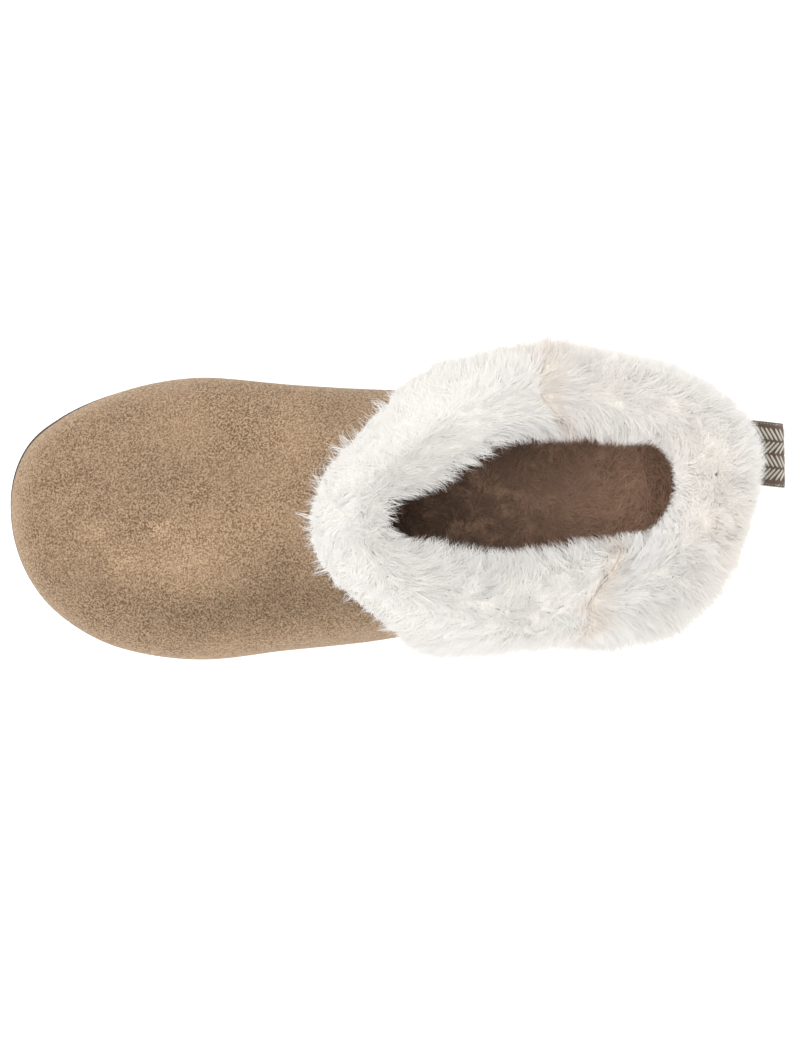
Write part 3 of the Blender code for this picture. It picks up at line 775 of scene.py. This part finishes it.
u = 2 * math.pi * np.arange(INSOLE_AROUND) / INSOLE_AROUND
insole_rings = []
for inward, height in ((0.0, 0.0), (0.0, 0.6), (0.0005, 0.9), (0.0016, 1.0)):
    plan = moved_out(u, np.full(INSOLE_AROUND, -INSOLE_INSET - inward))
    insole_rings.append(np.column_stack([plan, sole_top(plan[:, 0]) + SEAT_GAP + height * INSOLE_THICKNESS]))
centre_line = np.array(insole_rings[-1])
mirrored = (-np.arange(INSOLE_AROUND)) % INSOLE_AROUND
centre_line[:, 1] = (centre_line[:, 1] + centre_line[mirrored, 1]) / 2
lid = [insole_rings[-1] * (1 - s) + centre_line * s for s in (0.0, 0.15, 0.4, 0.7, 1.0)]
base = [insole_rings[0] * (1 - s) + (centre_line - [0, 0, INSOLE_THICKNESS]) * s for s in (1.0, 0.5)]
stack = np.array(base + insole_rings + lid[1:])
faces = [grid_faces(len(stack), INSOLE_AROUND, closed=True)]
insole = piece("insole_pile", stack.reshape(-1, 3), faces, [PILE], ("insole",))


def brown(roots, seed):
    """Tints of the pile's roots and tips: painted light, lighter towards the heel and up the walls where
    light comes in, in soft tufts, and a little at random.
    """
    turn = np.random.default_rng(seed)
    back = np.clip((roots[:, :1] + 0.125) / 0.09, 0, 1)
    wall = roots[:, 2:] > WALL_START
    painted_light_by_place = (0.62 + 0.16 * back + 0.95 * back**3) * np.where(wall, WALL_LIGHT, 1.0)
    painted_light_by_place = painted_light_by_place * np.where(wall & (roots[:, 1:2] > 0), MEDIAL_LIGHT, 1.0)
    tufts = 1 + 0.16 * waves(roots[:, :1], roots[:, 1:2] + roots[:, 2:], 7, 700)
    light = turn.uniform(0.8, 1.2, (len(roots), 1)) * painted_light_by_place * tufts
    return rgb("#75594A") * light, rgb("#A88A74") * light


def pile(name, roots, normals, ways, seed):
    """Short curled ribbons: each leaves along its way, rises by a third of its length and curls over."""
    turn = np.random.default_rng(seed)
    n = len(roots)
    length = PILE_LENGTH * turn.uniform(0.7, 1.25, n)[:, None, None]
    curl = unit(np.cross(normals, ways)) * turn.normal(0, 0.35, (n, 1))
    s = np.array([0.0, 0.45, 1.0])[None, :, None]
    lift = 0.42 * np.sin(s * 2.1)
    lines = roots[:, None] + length * (ways[:, None] * s + curl[:, None] * s**2 + normals[:, None] * lift)
    across = across_of(lines, normals, turn.normal(0, 0.7, n))
    tint, tips = brown(roots, seed + 1)
    facing = unit(normals - 0.45 * ways)
    width = turn.uniform(0.00025, 0.0004, n)
    points, faces, colours, shaded = ribbons(lines, across, width, tint, tips, facing)
    return piece(name, points, faces, [PILE_STRANDS], colours=colours, normals=shaded)


def height_at(x, curve):
    """A curve's y at x, straight between its points."""
    order = np.argsort(curve[:, 0])
    return np.interp(x, curve[order, 0], curve[order, 1])


def clumped(centres, count, radius, turn):
    """count points about each centre in the plane, closer in the middle."""
    r = radius * np.sqrt(turn.uniform(0, 1, (len(centres), count, 1)))
    a = turn.uniform(0, 2 * math.pi, (len(centres), count))
    return centres[:, None] + r * np.stack([np.cos(a), np.sin(a)], -1)


turn = np.random.default_rng(31)
spots = np.column_stack([turn.uniform(*room, PILE_CLUMPS // THIN) for room in PILE_ROOM])
plan = clumped(spots, 9, 0.002, turn)
swirl = waves(spots[:, 0], spots[:, 1], 5, 110) * 2.4 + waves(spots[:, 0], spots[:, 1], 6, 320) * 0.8
swirl = swirl[:, None] + turn.normal(0, 0.3, plan.shape[:2])
plan, swirl = plan.reshape(-1, 2), swirl.ravel()
half = INSOLE_AROUND // 2
low_y = height_at(plan[:, 0], insole_rings[-1][half:])
high_y = height_at(plan[:, 0], insole_rings[-1][:half + 1])
kept = (plan[:, 1] > low_y + PILE_MARGIN) & (plan[:, 1] < high_y - PILE_MARGIN)
plan, swirl = plan[kept], swirl[kept]
roots = np.column_stack([plan, sole_top(plan[:, 0]) + SEAT_GAP + INSOLE_THICKNESS - 0.0004])
normals = np.tile([0.0, 0.0, 1.0], (len(roots), 1))
ways = np.column_stack([np.cos(swirl), np.sin(swirl), np.zeros(len(swirl))])
pile("pile_footbed", roots, normals, ways, 41)

turn = np.random.default_rng(32)
count = PILE_CLUMPS // THIN
clump_u = turn.uniform(0.9, 2 * math.pi - 0.9, count)
clump_v = turn.uniform(0.10, 0.86, count)
u = (clump_u[:, None] + turn.normal(0, 0.03, (count, 8))).ravel()
v = np.clip((clump_v[:, None] + turn.normal(0, 0.02, (count, 8))).ravel(), 0.04, 0.9)
point, normal, upwards = upper_frame(u, v)
swirl = (waves(clump_u * 8, clump_v * 10, 8, 1.0)[:, None] * 1.3 + turn.normal(0, 0.3, (count, 8))).ravel()
sideways = unit(np.cross(normal, upwards))
ways = -upwards * np.cos(swirl)[:, None] + sideways * np.sin(swirl)[:, None]
pile("pile_lining", point - normal * (WALL + 0.0001), -normal, ways, 43)

# %% [markdown]
# ## The cuff's folded section
#
# The cuff is folded over the collar: up the outside from its hem, over the crest, and down the inside. Each
# row of its section is a pair of closed curves, one on the cloth and one at the fur's full depth. The side
# seams lean, so near them each row is turned a little round the shoe, by the solid model's own table.

# %% Section of the cuff
FUR_OUTSIDE = 0.0155
FUR_CREST = 0.0135
FUR_INSIDE = 0.0135
FUR_HEM = 0.005
SLOT_GAP = 0.0007
SEAM_SPREAD = 0.07
LEAN_SPREAD = 0.45
OVERHANG = 0.012
CUFF_AROUND = 480
ROW_STEPS = 6
HEM = ((0, 0.950), (40, 0.940), (60, 0.900), (78, 0.800), (95, 0.660), (120, 0.550), (180, 0.500))
INNER_DROP = ((0, 0.10), (50, 0.16), (90, 0.34), (180, 0.30))
FULLNESS = (
    (0, 0.70), (40, 0.48), (60, 0.30), (75, 0.36), (86, 0.56), (93, 0.92), (99, 1.18), (106, 0.95),
    (114, 0.82), (125, 0.82), (140, 0.88), (160, 1.10), (172, 1.10), (182, 0.95), (193, 0.92), (206, 1.15),
    (230, 1.62), (248, 0.96), (262, 0.84), (285, 0.76), (300, 0.60), (330, 0.64), (360, 0.70),
)
INNER_FULLNESS = (
    (0, 0.70), (20, 0.74), (32, 1.08), (45, 1.34), (60, 1.28), (80, 1.05), (96, 1.14), (125, 1.10),
    (148, 0.70), (180, 0.80), (215, 0.68), (235, 1.15), (255, 1.38), (285, 1.38), (300, 1.40), (318, 1.32),
    (340, 0.84), (360, 0.70),
)
# Each row: its number from the outer hem, and the degrees it is turned by at the medial and lateral seam.
SEAM_LEAN = (
    (0, 3, 5), (1, 3, 5), (7, -1, 6), (9, -6, 6), (10, -5, -2), (11, 1, -12), (12, 8, -17), (15, 14, -18),
    (16, 14, -18),
)
# Outside, each row: share of the way to the collar, of the depth, and of the hem's drop. Inside: the share
# of the way down and of the depth.
OUTER_ROWS = (
    (0.00, 0.10, 1.0), (0.00, 0.50, 0.8), (0.10, 0.80, 0.3), (0.28, 0.95, 0.0), (0.46, 1.00, 0.0),
    (0.64, 1.00, 0.0), (0.82, 1.00, 0.0),
)
CREST_DEGREES = (12, 45, 80, 112, 150)
INNER_ROWS = ((0.15, 1.00), (0.45, 0.95), (0.75, 0.75), (1.00, 0.45), (1.00, 0.12))


def turned_from(angle, seam):
    """The angle from a seam, from half a turn below it to half a turn above it."""
    return (angle - seam + math.pi) % (2 * math.pi) - math.pi


def seam_distance(angle):
    """Angle in radians to the nearer side seam."""
    return np.minimum(np.abs(turned_from(angle, SEAM_MEDIAL)), np.abs(turned_from(angle, SEAM_LATERAL)))


def leaned(angle, row):
    """The angle plus each seam's lean at this row, times the bell exp(-(angle from the seam / spread)^2)."""
    rows, *leans = zip(*SEAM_LEAN)
    for seam, lean in zip((SEAM_MEDIAL, SEAM_LATERAL), leans):
        bell = np.exp(-((turned_from(angle, seam) / LEAN_SPREAD) ** 2))
        angle = angle + math.radians(smooth(row, rows, lean)) * bell
    return angle


def cuff_rows(angle):
    """Rows of the section, each a point on the cloth and one at the fur's full depth."""
    dip = np.exp(-((seam_distance(angle) / SEAM_SPREAD) ** 2))
    a = leaned(angle, 0)
    point, normal, tangent = upper_frame(a, by_table(a, HEM))
    rows = [(point + normal * SLOT_GAP - tangent * OVERHANG, point + normal * 0.002 - tangent * OVERHANG)]
    for share, depth, hang in OUTER_ROWS:
        a = leaned(angle, len(rows) - 1)
        hem = by_table(a, HEM)
        point, normal, tangent = upper_frame(a, hem + share * (1 - hem))
        cloth = point + normal * SLOT_GAP
        reach = (FUR_OUTSIDE * round_table(a, FULLNESS) * depth * (1 - 0.30 * dip))[:, None]
        rows.append((cloth, cloth + normal * reach - tangent * FUR_HEM * hang))
    for degrees in CREST_DEGREES:
        a = leaned(angle, len(rows) - 1)
        collar, out, up = upper_frame(a, np.ones_like(a))
        middle = collar - out * WALL / 2
        across, rise = math.cos(math.radians(degrees)), math.sin(math.radians(degrees))
        outside = degrees < 90
        facing = out if outside else unit(out * [1, 1, 0])
        deepest, fullness = (FUR_OUTSIDE, FULLNESS) if outside else (FUR_INSIDE, INNER_FULLNESS)
        depth = deepest * round_table(a, fullness)
        crest = (rise * FUR_CREST * (1 - 0.35 * dip))[:, None]
        cloth = middle + out * (across * (WALL / 2 + SLOT_GAP)) + up * (SLOT_GAP * rise)
        rows.append((cloth, middle + facing * (across * (depth + WALL / 2))[:, None] + up * crest))
    for share, depth in INNER_ROWS:
        a = leaned(angle, len(rows) - 1)
        level = unit(upper_frame(a, np.ones_like(a))[1] * [1, 1, 0])
        point, normal, tangent = upper_frame(a, 1 - share * by_table(a, INNER_DROP))
        cloth = point - normal * (WALL + SLOT_GAP)
        rows.append((cloth, cloth - level * (FUR_INSIDE * round_table(a, INNER_FULLNESS) * depth)[:, None]))
    rows.append((cloth - tangent * OVERHANG, cloth - normal * 0.002 - tangent * OVERHANG))
    return np.array([a for a, _ in rows]), np.array([b for _, b in rows])


def refined(rows):
    """Rows with more between them, on the cubic through each four neighbours."""
    padded = np.concatenate([rows[:1], rows, rows[-1:]])
    out = []
    for i in range(len(rows) - 1):
        a, b, c, d = padded[i:i + 4]
        for s in np.arange(ROW_STEPS) / ROW_STEPS:
            curve = b + s * (c - a) / 2 + s**2 * (a - 2.5 * b + 2 * c - d / 2)
            out.append(curve + s**3 * (b - c + (d - a) / 3) * 1.5)
    return np.array([*out, rows[-1]])


cuff_u = 2 * math.pi * np.arange(CUFF_AROUND) / CUFF_AROUND
cloth, full = map(refined, cuff_rows(cuff_u))
guide_rows = len(cloth)
first_row, last_row = ROW_STEPS - 1, guide_rows - 1 - ROW_STEPS // 2
per_u = np.linalg.norm(np.roll(full, -1, 1) - np.roll(full, 1, 1), axis=-1) / (4 * math.pi / CUFF_AROUND)
per_t = np.linalg.norm(np.gradient(full, axis=0), axis=-1) * (guide_rows - 1)
area = (per_u * per_t)[first_row:last_row].ravel()
print("fur:", round(float(area.sum()) * 2 * math.pi / CUFF_AROUND / (guide_rows - 1) * 1e4), "square cm")

# %% [markdown]
# ## Underfur
#
# Under the long hairs lies a dense coat. Each panel of it is a closed sweep from seam to seam, whose surface
# rolls in slow waves and small tufts. Its colour is the hairs' own, painted a little darker as shade under
# them:
# white in front, creamier behind, and tan where a seam parts the fur.

# %% Underfur
TAN_SPREAD = 0.05
COAT = 0.66
COAT_PAINTED_SHADE = 0.90
# Each row: degrees round the opening, half width in degrees, and the colour of the painted shade on the
# smoother fur inside it, under the crest.
SHADED_LIPS = ((115, 24, "#E2D3C8"), (332, 12, "#D3C1AE"))
LIP_START, LIP_FADE = 0.70, 0.06
TAN_END = 0.75
UNDERFUR_AROUND = 340
UNDERFUR_ROWS = 70
PANEL_GAP = 0.003


def fur_tints(u, t, turn):
    """Root and tip colours: cream mixed in by slow waves, painted shade on the inner lips under the crest,
    and tan mixed in by a bell round each seam.
    """
    place = sample(full, u, t)
    warm = 0.5 + 0.5 * waves(place[:, 0], place[:, 1], 3, 90)
    behind = np.where((u > SEAM_MEDIAL) & (u < SEAM_LATERAL), 1.0, 0.25)
    parted = np.exp(-((seam_distance(u) / TAN_SPREAD) ** 2)) * (t < TAN_END)
    cream = np.clip(0.15 + 0.60 * warm * behind + turn.normal(0, 0.10, len(u)), 0, 1)[:, None]
    tips = blend(rgb("#F1F0EE"), rgb("#F3EEE7"), cream)
    roots = blend(rgb("#EAE8E4"), rgb("#ECE5DC"), cream)
    # Painted shade: the fur beyond the crest on each inner lip is darkened towards that lip's colour.
    for degrees, width, shade in SHADED_LIPS:
        away = turned_from(u, math.radians(degrees)) / math.radians(width)
        inside = np.clip((t - LIP_START) / LIP_FADE, 0, 1)
        painted_shade = (np.exp(-away**2) * inside)[:, None] * (1 - rgb(shade))
        roots, tips = roots * (1 - painted_shade), tips * (1 - painted_shade)
    tan = (np.clip(parted * turn.uniform(0.3, 1.0, len(u)), 0, 1) * 0.8)[:, None]
    return blend(roots, rgb("#DAC3AC"), tan), blend(tips, rgb("#E6D6C5"), 0.5 * tan)


def panel(name, start, end, node):
    """The coat's depth is a share of the full depth, plus slow waves and small tufts."""
    columns = 2 + int((end - start) / (2 * math.pi) * UNDERFUR_AROUND)
    u = np.linspace(start + PANEL_GAP, end - PANEL_GAP, columns)
    t = np.linspace(first_row, last_row, UNDERFUR_ROWS) / (guide_rows - 1)
    uu, tt = np.meshgrid(u, t)
    low, high = sample(cloth, uu, tt), sample(full, uu, tt)
    rolls = 0.035 * waves(uu * 8, tt * 20, 21, 1.0) + 0.015 * waves(uu * 40, tt * 95, 22, 1.0)
    core = low + (high - low) * (COAT + rolls)[..., None]
    ring = np.concatenate([core, low[::-1]]).transpose(1, 0, 2)
    count = ring.shape[1]
    j = np.arange(count // 2 - 1)
    end_face = np.stack([j, j + 1, count - 2 - j, count - 1 - j], -1)
    last = (columns - 1) * count
    faces = [grid_faces(columns, count, closed=True), end_face[:, ::-1], end_face + last]
    rows = np.tile(np.concatenate([t, t[::-1]]), columns)
    roots, tips = fur_tints(np.repeat(u, count), rows, np.random.default_rng(2))
    # Painted shade: the coat is a little darker than the hairs above it.
    coat = (roots + tips) / 2 * COAT_PAINTED_SHADE
    return piece(name, ring.reshape(-1, 3), faces, [BACKING], (node,), colours=coat)


panel("underfur_front", SEAM_LATERAL - 2 * math.pi, SEAM_MEDIAL, "cuff_front")
panel("underfur_back", SEAM_MEDIAL, SEAM_LATERAL, "cuff_back")

# %% [markdown]
# ## Hairs
#
# Strands start in clumps in the coat, flow away from the ridge to both sides and gather in soft points. The
# flow runs outwards below the ridge and inwards beyond it, with a sweep along the rim and slow swirls added.
# Each is shaded as if it faced partly upwards, because light that enters deep fur comes back from all of it.

# %% Fur strands
# Each row: degrees round from the toe by the medial side, and the fur's sweep along the rim there.
SWEEP = (
    (0, -0.10), (20, 0.25), (50, 0.75), (96, 0.85), (104, 0.55), (130, 0.25), (180, 0.05), (225, -0.20),
    (249, -0.60), (251, 0.60), (275, 0.35), (300, -0.15), (335, -0.35), (360, -0.10),
)
RIDGE = 0.62
RIDGE_SPREAD = 0.28
SWEEP_FADE = 0.15
PARTING = 0.0003
UPWARD_SHADING = (0.0, 0.0, 1.1)
ROOT_DEPTH = 0.62
HEM_SHORT, HEM_REACH = 0.28, 0.3
LONGEST = 0.0115
BACK_SHORT = 0.75
BEND = 0.0010


def fur_strands(clumps, each, scatter, gather, reach, lift, seed):
    """Clumps at random by area: the roots scatter about each, and the tips gather at a point downstream.

    The back panel's clumps are shorter and turn in small curls.
    """
    turn = np.random.default_rng(seed)
    cell = turn.choice(area.size, clumps, p=area / area.sum())
    t = (first_row + cell // CUFF_AROUND + turn.uniform(0, 1, clumps)) / (guide_rows - 1)
    u = 2 * math.pi * (cell % CUFF_AROUND + turn.uniform(0, 1, clumps)) / CUFF_AROUND
    side = np.maximum(sample(per_u[..., None], u, t)[:, 0], 0.006)
    rows = np.maximum(sample(per_t[..., None], u, t)[:, 0], 0.03)
    behind = (u > SEAM_MEDIAL) & (u < SEAM_LATERAL)
    place = sample(full, u, t)
    curl, stray = np.where(behind, 0.36, 0.26), np.where(behind, 0.20, 0.30)
    swirls = [0.28 * waves(place[:, 0] + place[:, 2], place[:, 1], seeds[0], 110)
              + curl * waves(place[:, 0] + place[:, 2], place[:, 1], seeds[1], 420)
              + turn.normal(0, 1, clumps) * stray for seeds in ((9, 11), (10, 12))]
    along = round_table(u, SWEEP) * (1 - 0.8 * np.clip((t - RIDGE) / SWEEP_FADE, 0, 1)) + swirls[0]
    away = np.clip((t - RIDGE) / RIDGE_SPREAD, -1, 1)
    outwards = (away + swirls[1]) * (HEM_SHORT + (1 - HEM_SHORT) * np.clip(t / HEM_REACH, 0, 1))
    length = turn.uniform(*reach, clumps) * np.where(behind, BACK_SHORT, 1.0)
    tip_u, tip_t = u + length * along / side, t + length * outwards / rows

    def scattered(a, b, radius):
        r = radius * np.sqrt(turn.uniform(0, 1, (clumps, each)))
        w = turn.uniform(0, 2 * math.pi, (clumps, each))
        over_u = r * np.cos(w) / side[:, None]
        over_t = r * np.sin(w) / rows[:, None]
        return (a[:, None] + over_u).ravel(), (b[:, None] + over_t).ravel()

    root_u, root_t = scattered(u, t, scatter)
    end_u, end_t = scattered(tip_u, tip_t, gather)
    s = np.array([0.0, 0.3, 0.65, 1.0])[None]
    bend = turn.normal(0, BEND, len(root_u))[:, None] / np.repeat(side, each)[:, None]
    line_u = root_u[:, None] + (end_u - root_u)[:, None] * s + bend * np.sin(s * math.pi)
    line_t = root_t[:, None] + (end_t - root_t)[:, None] * s
    depth = ROOT_DEPTH + (turn.uniform(*lift, len(root_u))[:, None] - ROOT_DEPTH) * s**0.7
    low, high = sample(cloth, line_u, line_t), sample(full, line_u, line_t)
    lines = low + (high - low) * depth[..., None]
    keep = (root_t > first_row / (guide_rows - 1)) & (root_t < last_row / (guide_rows - 1))
    keep &= seam_distance(root_u) * np.repeat(side, each) > PARTING
    keep &= np.linalg.norm(lines[:, -1] - lines[:, 0], axis=1) < LONGEST
    normals = unit((high - low)[:, 1])
    tilt = turn.normal(0, 1, (clumps, 3)) * np.where(behind, 0.14, 0.22)[:, None]
    facing = unit(normals + np.repeat(tilt + UPWARD_SHADING, each, axis=0))
    across = across_of(lines, facing, turn.normal(0, 0.2, len(lines)))
    roots, tips = fur_tints(root_u % (2 * math.pi), root_t, turn)
    width = turn.uniform(0.00014, 0.00026, len(lines))
    return [part[keep] for part in (root_u % (2 * math.pi), lines, across, width, roots, tips, facing)]


tufted = fur_strands(
    5200 // THIN, each=15, scatter=0.0024, gather=0.0009, reach=(0.006, 0.012), lift=(0.92, 1.16), seed=51)
loose = fur_strands(
    22000 // THIN, each=2, scatter=0.0025, gather=0.0025, reach=(0.003, 0.009), lift=(0.85, 1.20), seed=52)
strand_u, lines, across, width, roots, tips, facing = map(np.concatenate, zip(tufted, loose))
sections = (
    ("fur_front_medial", 0.0, SEAM_MEDIAL),
    ("fur_back_medial", SEAM_MEDIAL, math.pi),
    ("fur_back_lateral", math.pi, SEAM_LATERAL),
    ("fur_front_lateral", SEAM_LATERAL, 2 * math.pi),
)
for name, start, end in sections:
    here = (strand_u >= start) & (strand_u < end)
    points, faces, colours, shaded = ribbons(
        lines[here], across[here], width[here], roots[here], tips[here], facing[here])
    piece(name, points, faces, [FUR], colours=colours, normals=shaded)

# %% [markdown]
# ## Pull loop
#
# The tape goes up the heel, out, round a fold and back. Its weave is a plain herringbone: four lanes of
# slanted cream stitches, each lane leaning the other way from the next, between two edge cords.

# %% Pull loop
TAPE_WIDTH = 0.0233
TAPE_THICKNESS = 0.0014
LOOP_REACH = 0.0315
LOOP_EYE = 0.0088
LOOP_STEM = 0.011
LOOP_STEM_TOP = 0.046
LOOP_RISE = math.radians(14)
LOOP_OFFSET = 0.0172
LOOP_TURN = math.radians(-8)
TAPE_LANES = 4
STITCH_PITCH = 0.0016


def loop_path():
    """Side view of the tape: up the heel, out along the top layer, round the fold and back underneath."""
    half = TAPE_THICKNESS / 2
    way = np.array([math.cos(LOOP_RISE), math.sin(LOOP_RISE)])
    above = np.array([-way[1], way[0]])
    root = np.array([half + TAPE_THICKNESS, LOOP_STEM_TOP + TAPE_THICKNESS])
    reach = LOOP_REACH - TAPE_THICKNESS

    def layer(share, side):
        opened = LOOP_EYE / 2 * math.sin(math.pi / 2 * min(share / 0.62, 1)) ** 1.3
        return root + way * reach * share + above * side * opened

    def fold(degrees):
        turned = math.radians(degrees)
        return layer(0.72, 0) + LOOP_EYE / 2 * (way * 1.15 * math.sin(turned) + above * math.cos(turned))

    up = [(half, LOOP_STEM_TOP - LOOP_STEM * share) for share in (1.0, 0.65, 0.3, 0.0)]
    out = [layer(share, 1) for share in (0.0, 0.15, 0.35, 0.55, 0.72)]
    back = [layer(share, -1) for share in (0.72, 0.55, 0.35)]
    foot = half + TAPE_THICKNESS + SEAT_GAP
    down = [(foot + 0.0022, LOOP_STEM_TOP - 0.0005)]
    down += [(foot, LOOP_STEM_TOP - LOOP_STEM * share) for share in (0.36, 0.7, 1.0)]
    return np.array([*up, *out, *map(fold, (35, 65, 90, 115, 145)), *back, *down])


route = loop_path()
run = np.concatenate([[0], np.cumsum(np.linalg.norm(np.diff(route, axis=0), axis=1))])
heel_u, heel_v = np.linspace(math.pi * 0.55, math.pi * 1.2, 200), np.linspace(0.15, 0.75, 60)
heel = upper_surface(heel_u[:, None], heel_v[None, :])


def tape_points(along, side):
    """Points of the tape's middle layer at a run along the route and a distance to the side."""
    out, z = smooth(along, run, route[:, 0]), smooth(along, run, route[:, 1])
    near = np.abs(heel[None, ..., 2] - z.reshape(-1, 1, 1)).argmin(axis=2)
    line = heel[np.arange(len(heel_u))[None], near]
    curved, straight = np.empty(z.size), np.empty(z.size)
    wanted = LOOP_OFFSET + np.broadcast_to(side, along.shape).ravel()
    for i, row in enumerate(line):
        order = np.argsort(row[:, 1])
        curved[i] = np.interp(wanted[i], row[order, 1], row[order, 0])
        straight[i] = np.interp(LOOP_OFFSET, row[order, 1], row[order, 0])
    hug = np.exp(-((out.ravel() / (3 * TAPE_THICKNESS)) ** 2))
    x = hug * curved + (1 - hug) * straight + 2 * SEAT_GAP + math.cos(LOOP_TURN) * out.ravel()
    y = wanted + math.sin(LOOP_TURN) * out.ravel()
    return np.stack([x, y, z.ravel()], -1).reshape(*along.shape, 3)


def tape_frame(along, side):
    """Point, direction along the tape, and outward normal of the tape's face."""
    step = 2e-4
    point = tape_points(along, side)
    forward = unit(tape_points(along + step, side) - tape_points(along - step, side))
    sideways = unit(tape_points(along, side + step) - tape_points(along, side - step))
    return point, forward, unit(np.cross(forward, sideways))


edge = TAPE_WIDTH / 2
s, w = np.meshgrid(np.linspace(0, run[-1], 150), np.linspace(-edge, edge, 15), indexing="ij")
point, forward, normal = tape_frame(s, w)
thin = TAPE_THICKNESS / 2 * 0.75
points, faces = shell(point + normal * thin, point - normal * thin, closed=False)
piece("loop_tape", points, faces, [TAPE], ("pull_loop",))

lane = TAPE_WIDTH * 0.84 / TAPE_LANES
stitch_s, stitch_lane = np.meshgrid(np.arange(0.001, run[-1] - 0.001, STITCH_PITCH), np.arange(TAPE_LANES))
stitch_s, stitch_lane = stitch_s.ravel(), stitch_lane.ravel()
stitch_w = (stitch_lane - (TAPE_LANES - 1) / 2) * lane
stitches = []
for face in (1, -1):
    point, forward, normal = tape_frame(stitch_s, stitch_w)
    sideways = np.cross(normal, forward)
    slant = np.where(stitch_lane % 2 == 0, 1, -1)[:, None] * face
    axis = unit(sideways + forward * slant * 0.75)
    stitches.append((point + normal * face * thin, axis, normal * face))
centres, axes, outs = (np.concatenate(parts) for parts in zip(*stitches))
points, faces = capsules(centres, axes, outs, lane * 1.12, 0.00042)
piece("loop_herringbone", points, faces, [CREAM_THREAD])

edges = []
for side in (-1, 1):
    along = np.arange(0.0005, run[-1] - 0.0005, 0.0011)
    point, forward, normal = tape_frame(along, np.full(len(along), side * TAPE_WIDTH * 0.475))
    edges.append((point, unit(forward + np.cross(normal, forward) * 0.5), normal))
centres, axes, outs = (np.concatenate(parts) for parts in zip(*edges))
points, faces = capsules(centres, axes, outs, 0.0022, 0.0007)
piece("loop_edge_cords", points, faces, [CREAM_THREAD])

# %% [markdown]
# ## Side seams
#
# Below each seam of the cuff the suede is joined too: a lapped edge with two rows of short stitches, from the
# sole up to the fur. It is hidden in the photo, so its place follows the cuff's seams.

# %% Side seams
SEAM_SHADE = 0.9
seam_strips, seam_stitches = [], []
for seam in (SEAM_MEDIAL, SEAM_LATERAL):
    top_rise = float(by_table(np.array([seam]), HEM)[0]) + 0.05
    v = np.linspace(0.035, top_rise, 60)
    offsets = np.linspace(-0.0028, 0.0028, 9)
    point, normal, upwards = upper_frame(np.full((60, 9), seam), np.repeat(v[:, None], 9, 1))
    sideways = unit(np.cross(normal, upwards))
    crown = 0.00055 * (1 - (np.abs(offsets) / 0.0028) ** 4) - 0.0001
    strip = point + sideways * offsets[None, :, None] + normal * crown[None, :, None]
    seam_strips.append((strip, strip - normal * 0.0008))
    for offset in (-0.0018, 0.0018):
        v = np.arange(0.05, top_rise, 0.030)
        point, normal, upwards = upper_frame(np.full(len(v), seam), v)
        sideways = unit(np.cross(normal, upwards))
        seam_stitches.append((point + sideways * offset + normal * 0.0005, upwards, normal))
for number, (outer, inner) in enumerate(seam_strips):
    points, faces = shell(outer, inner, closed=False)
    piece(("side_seam_medial", "side_seam_lateral")[number], points, faces, [SUEDE],
          colours=np.full(points.shape, SEAM_SHADE))
centres, axes, outs = (np.concatenate(parts) for parts in zip(*seam_stitches))
points, faces = capsules(centres, axes, outs, 0.0022, 0.0003)
piece("side_seam_stitches", points, faces, [TAN_THREAD])
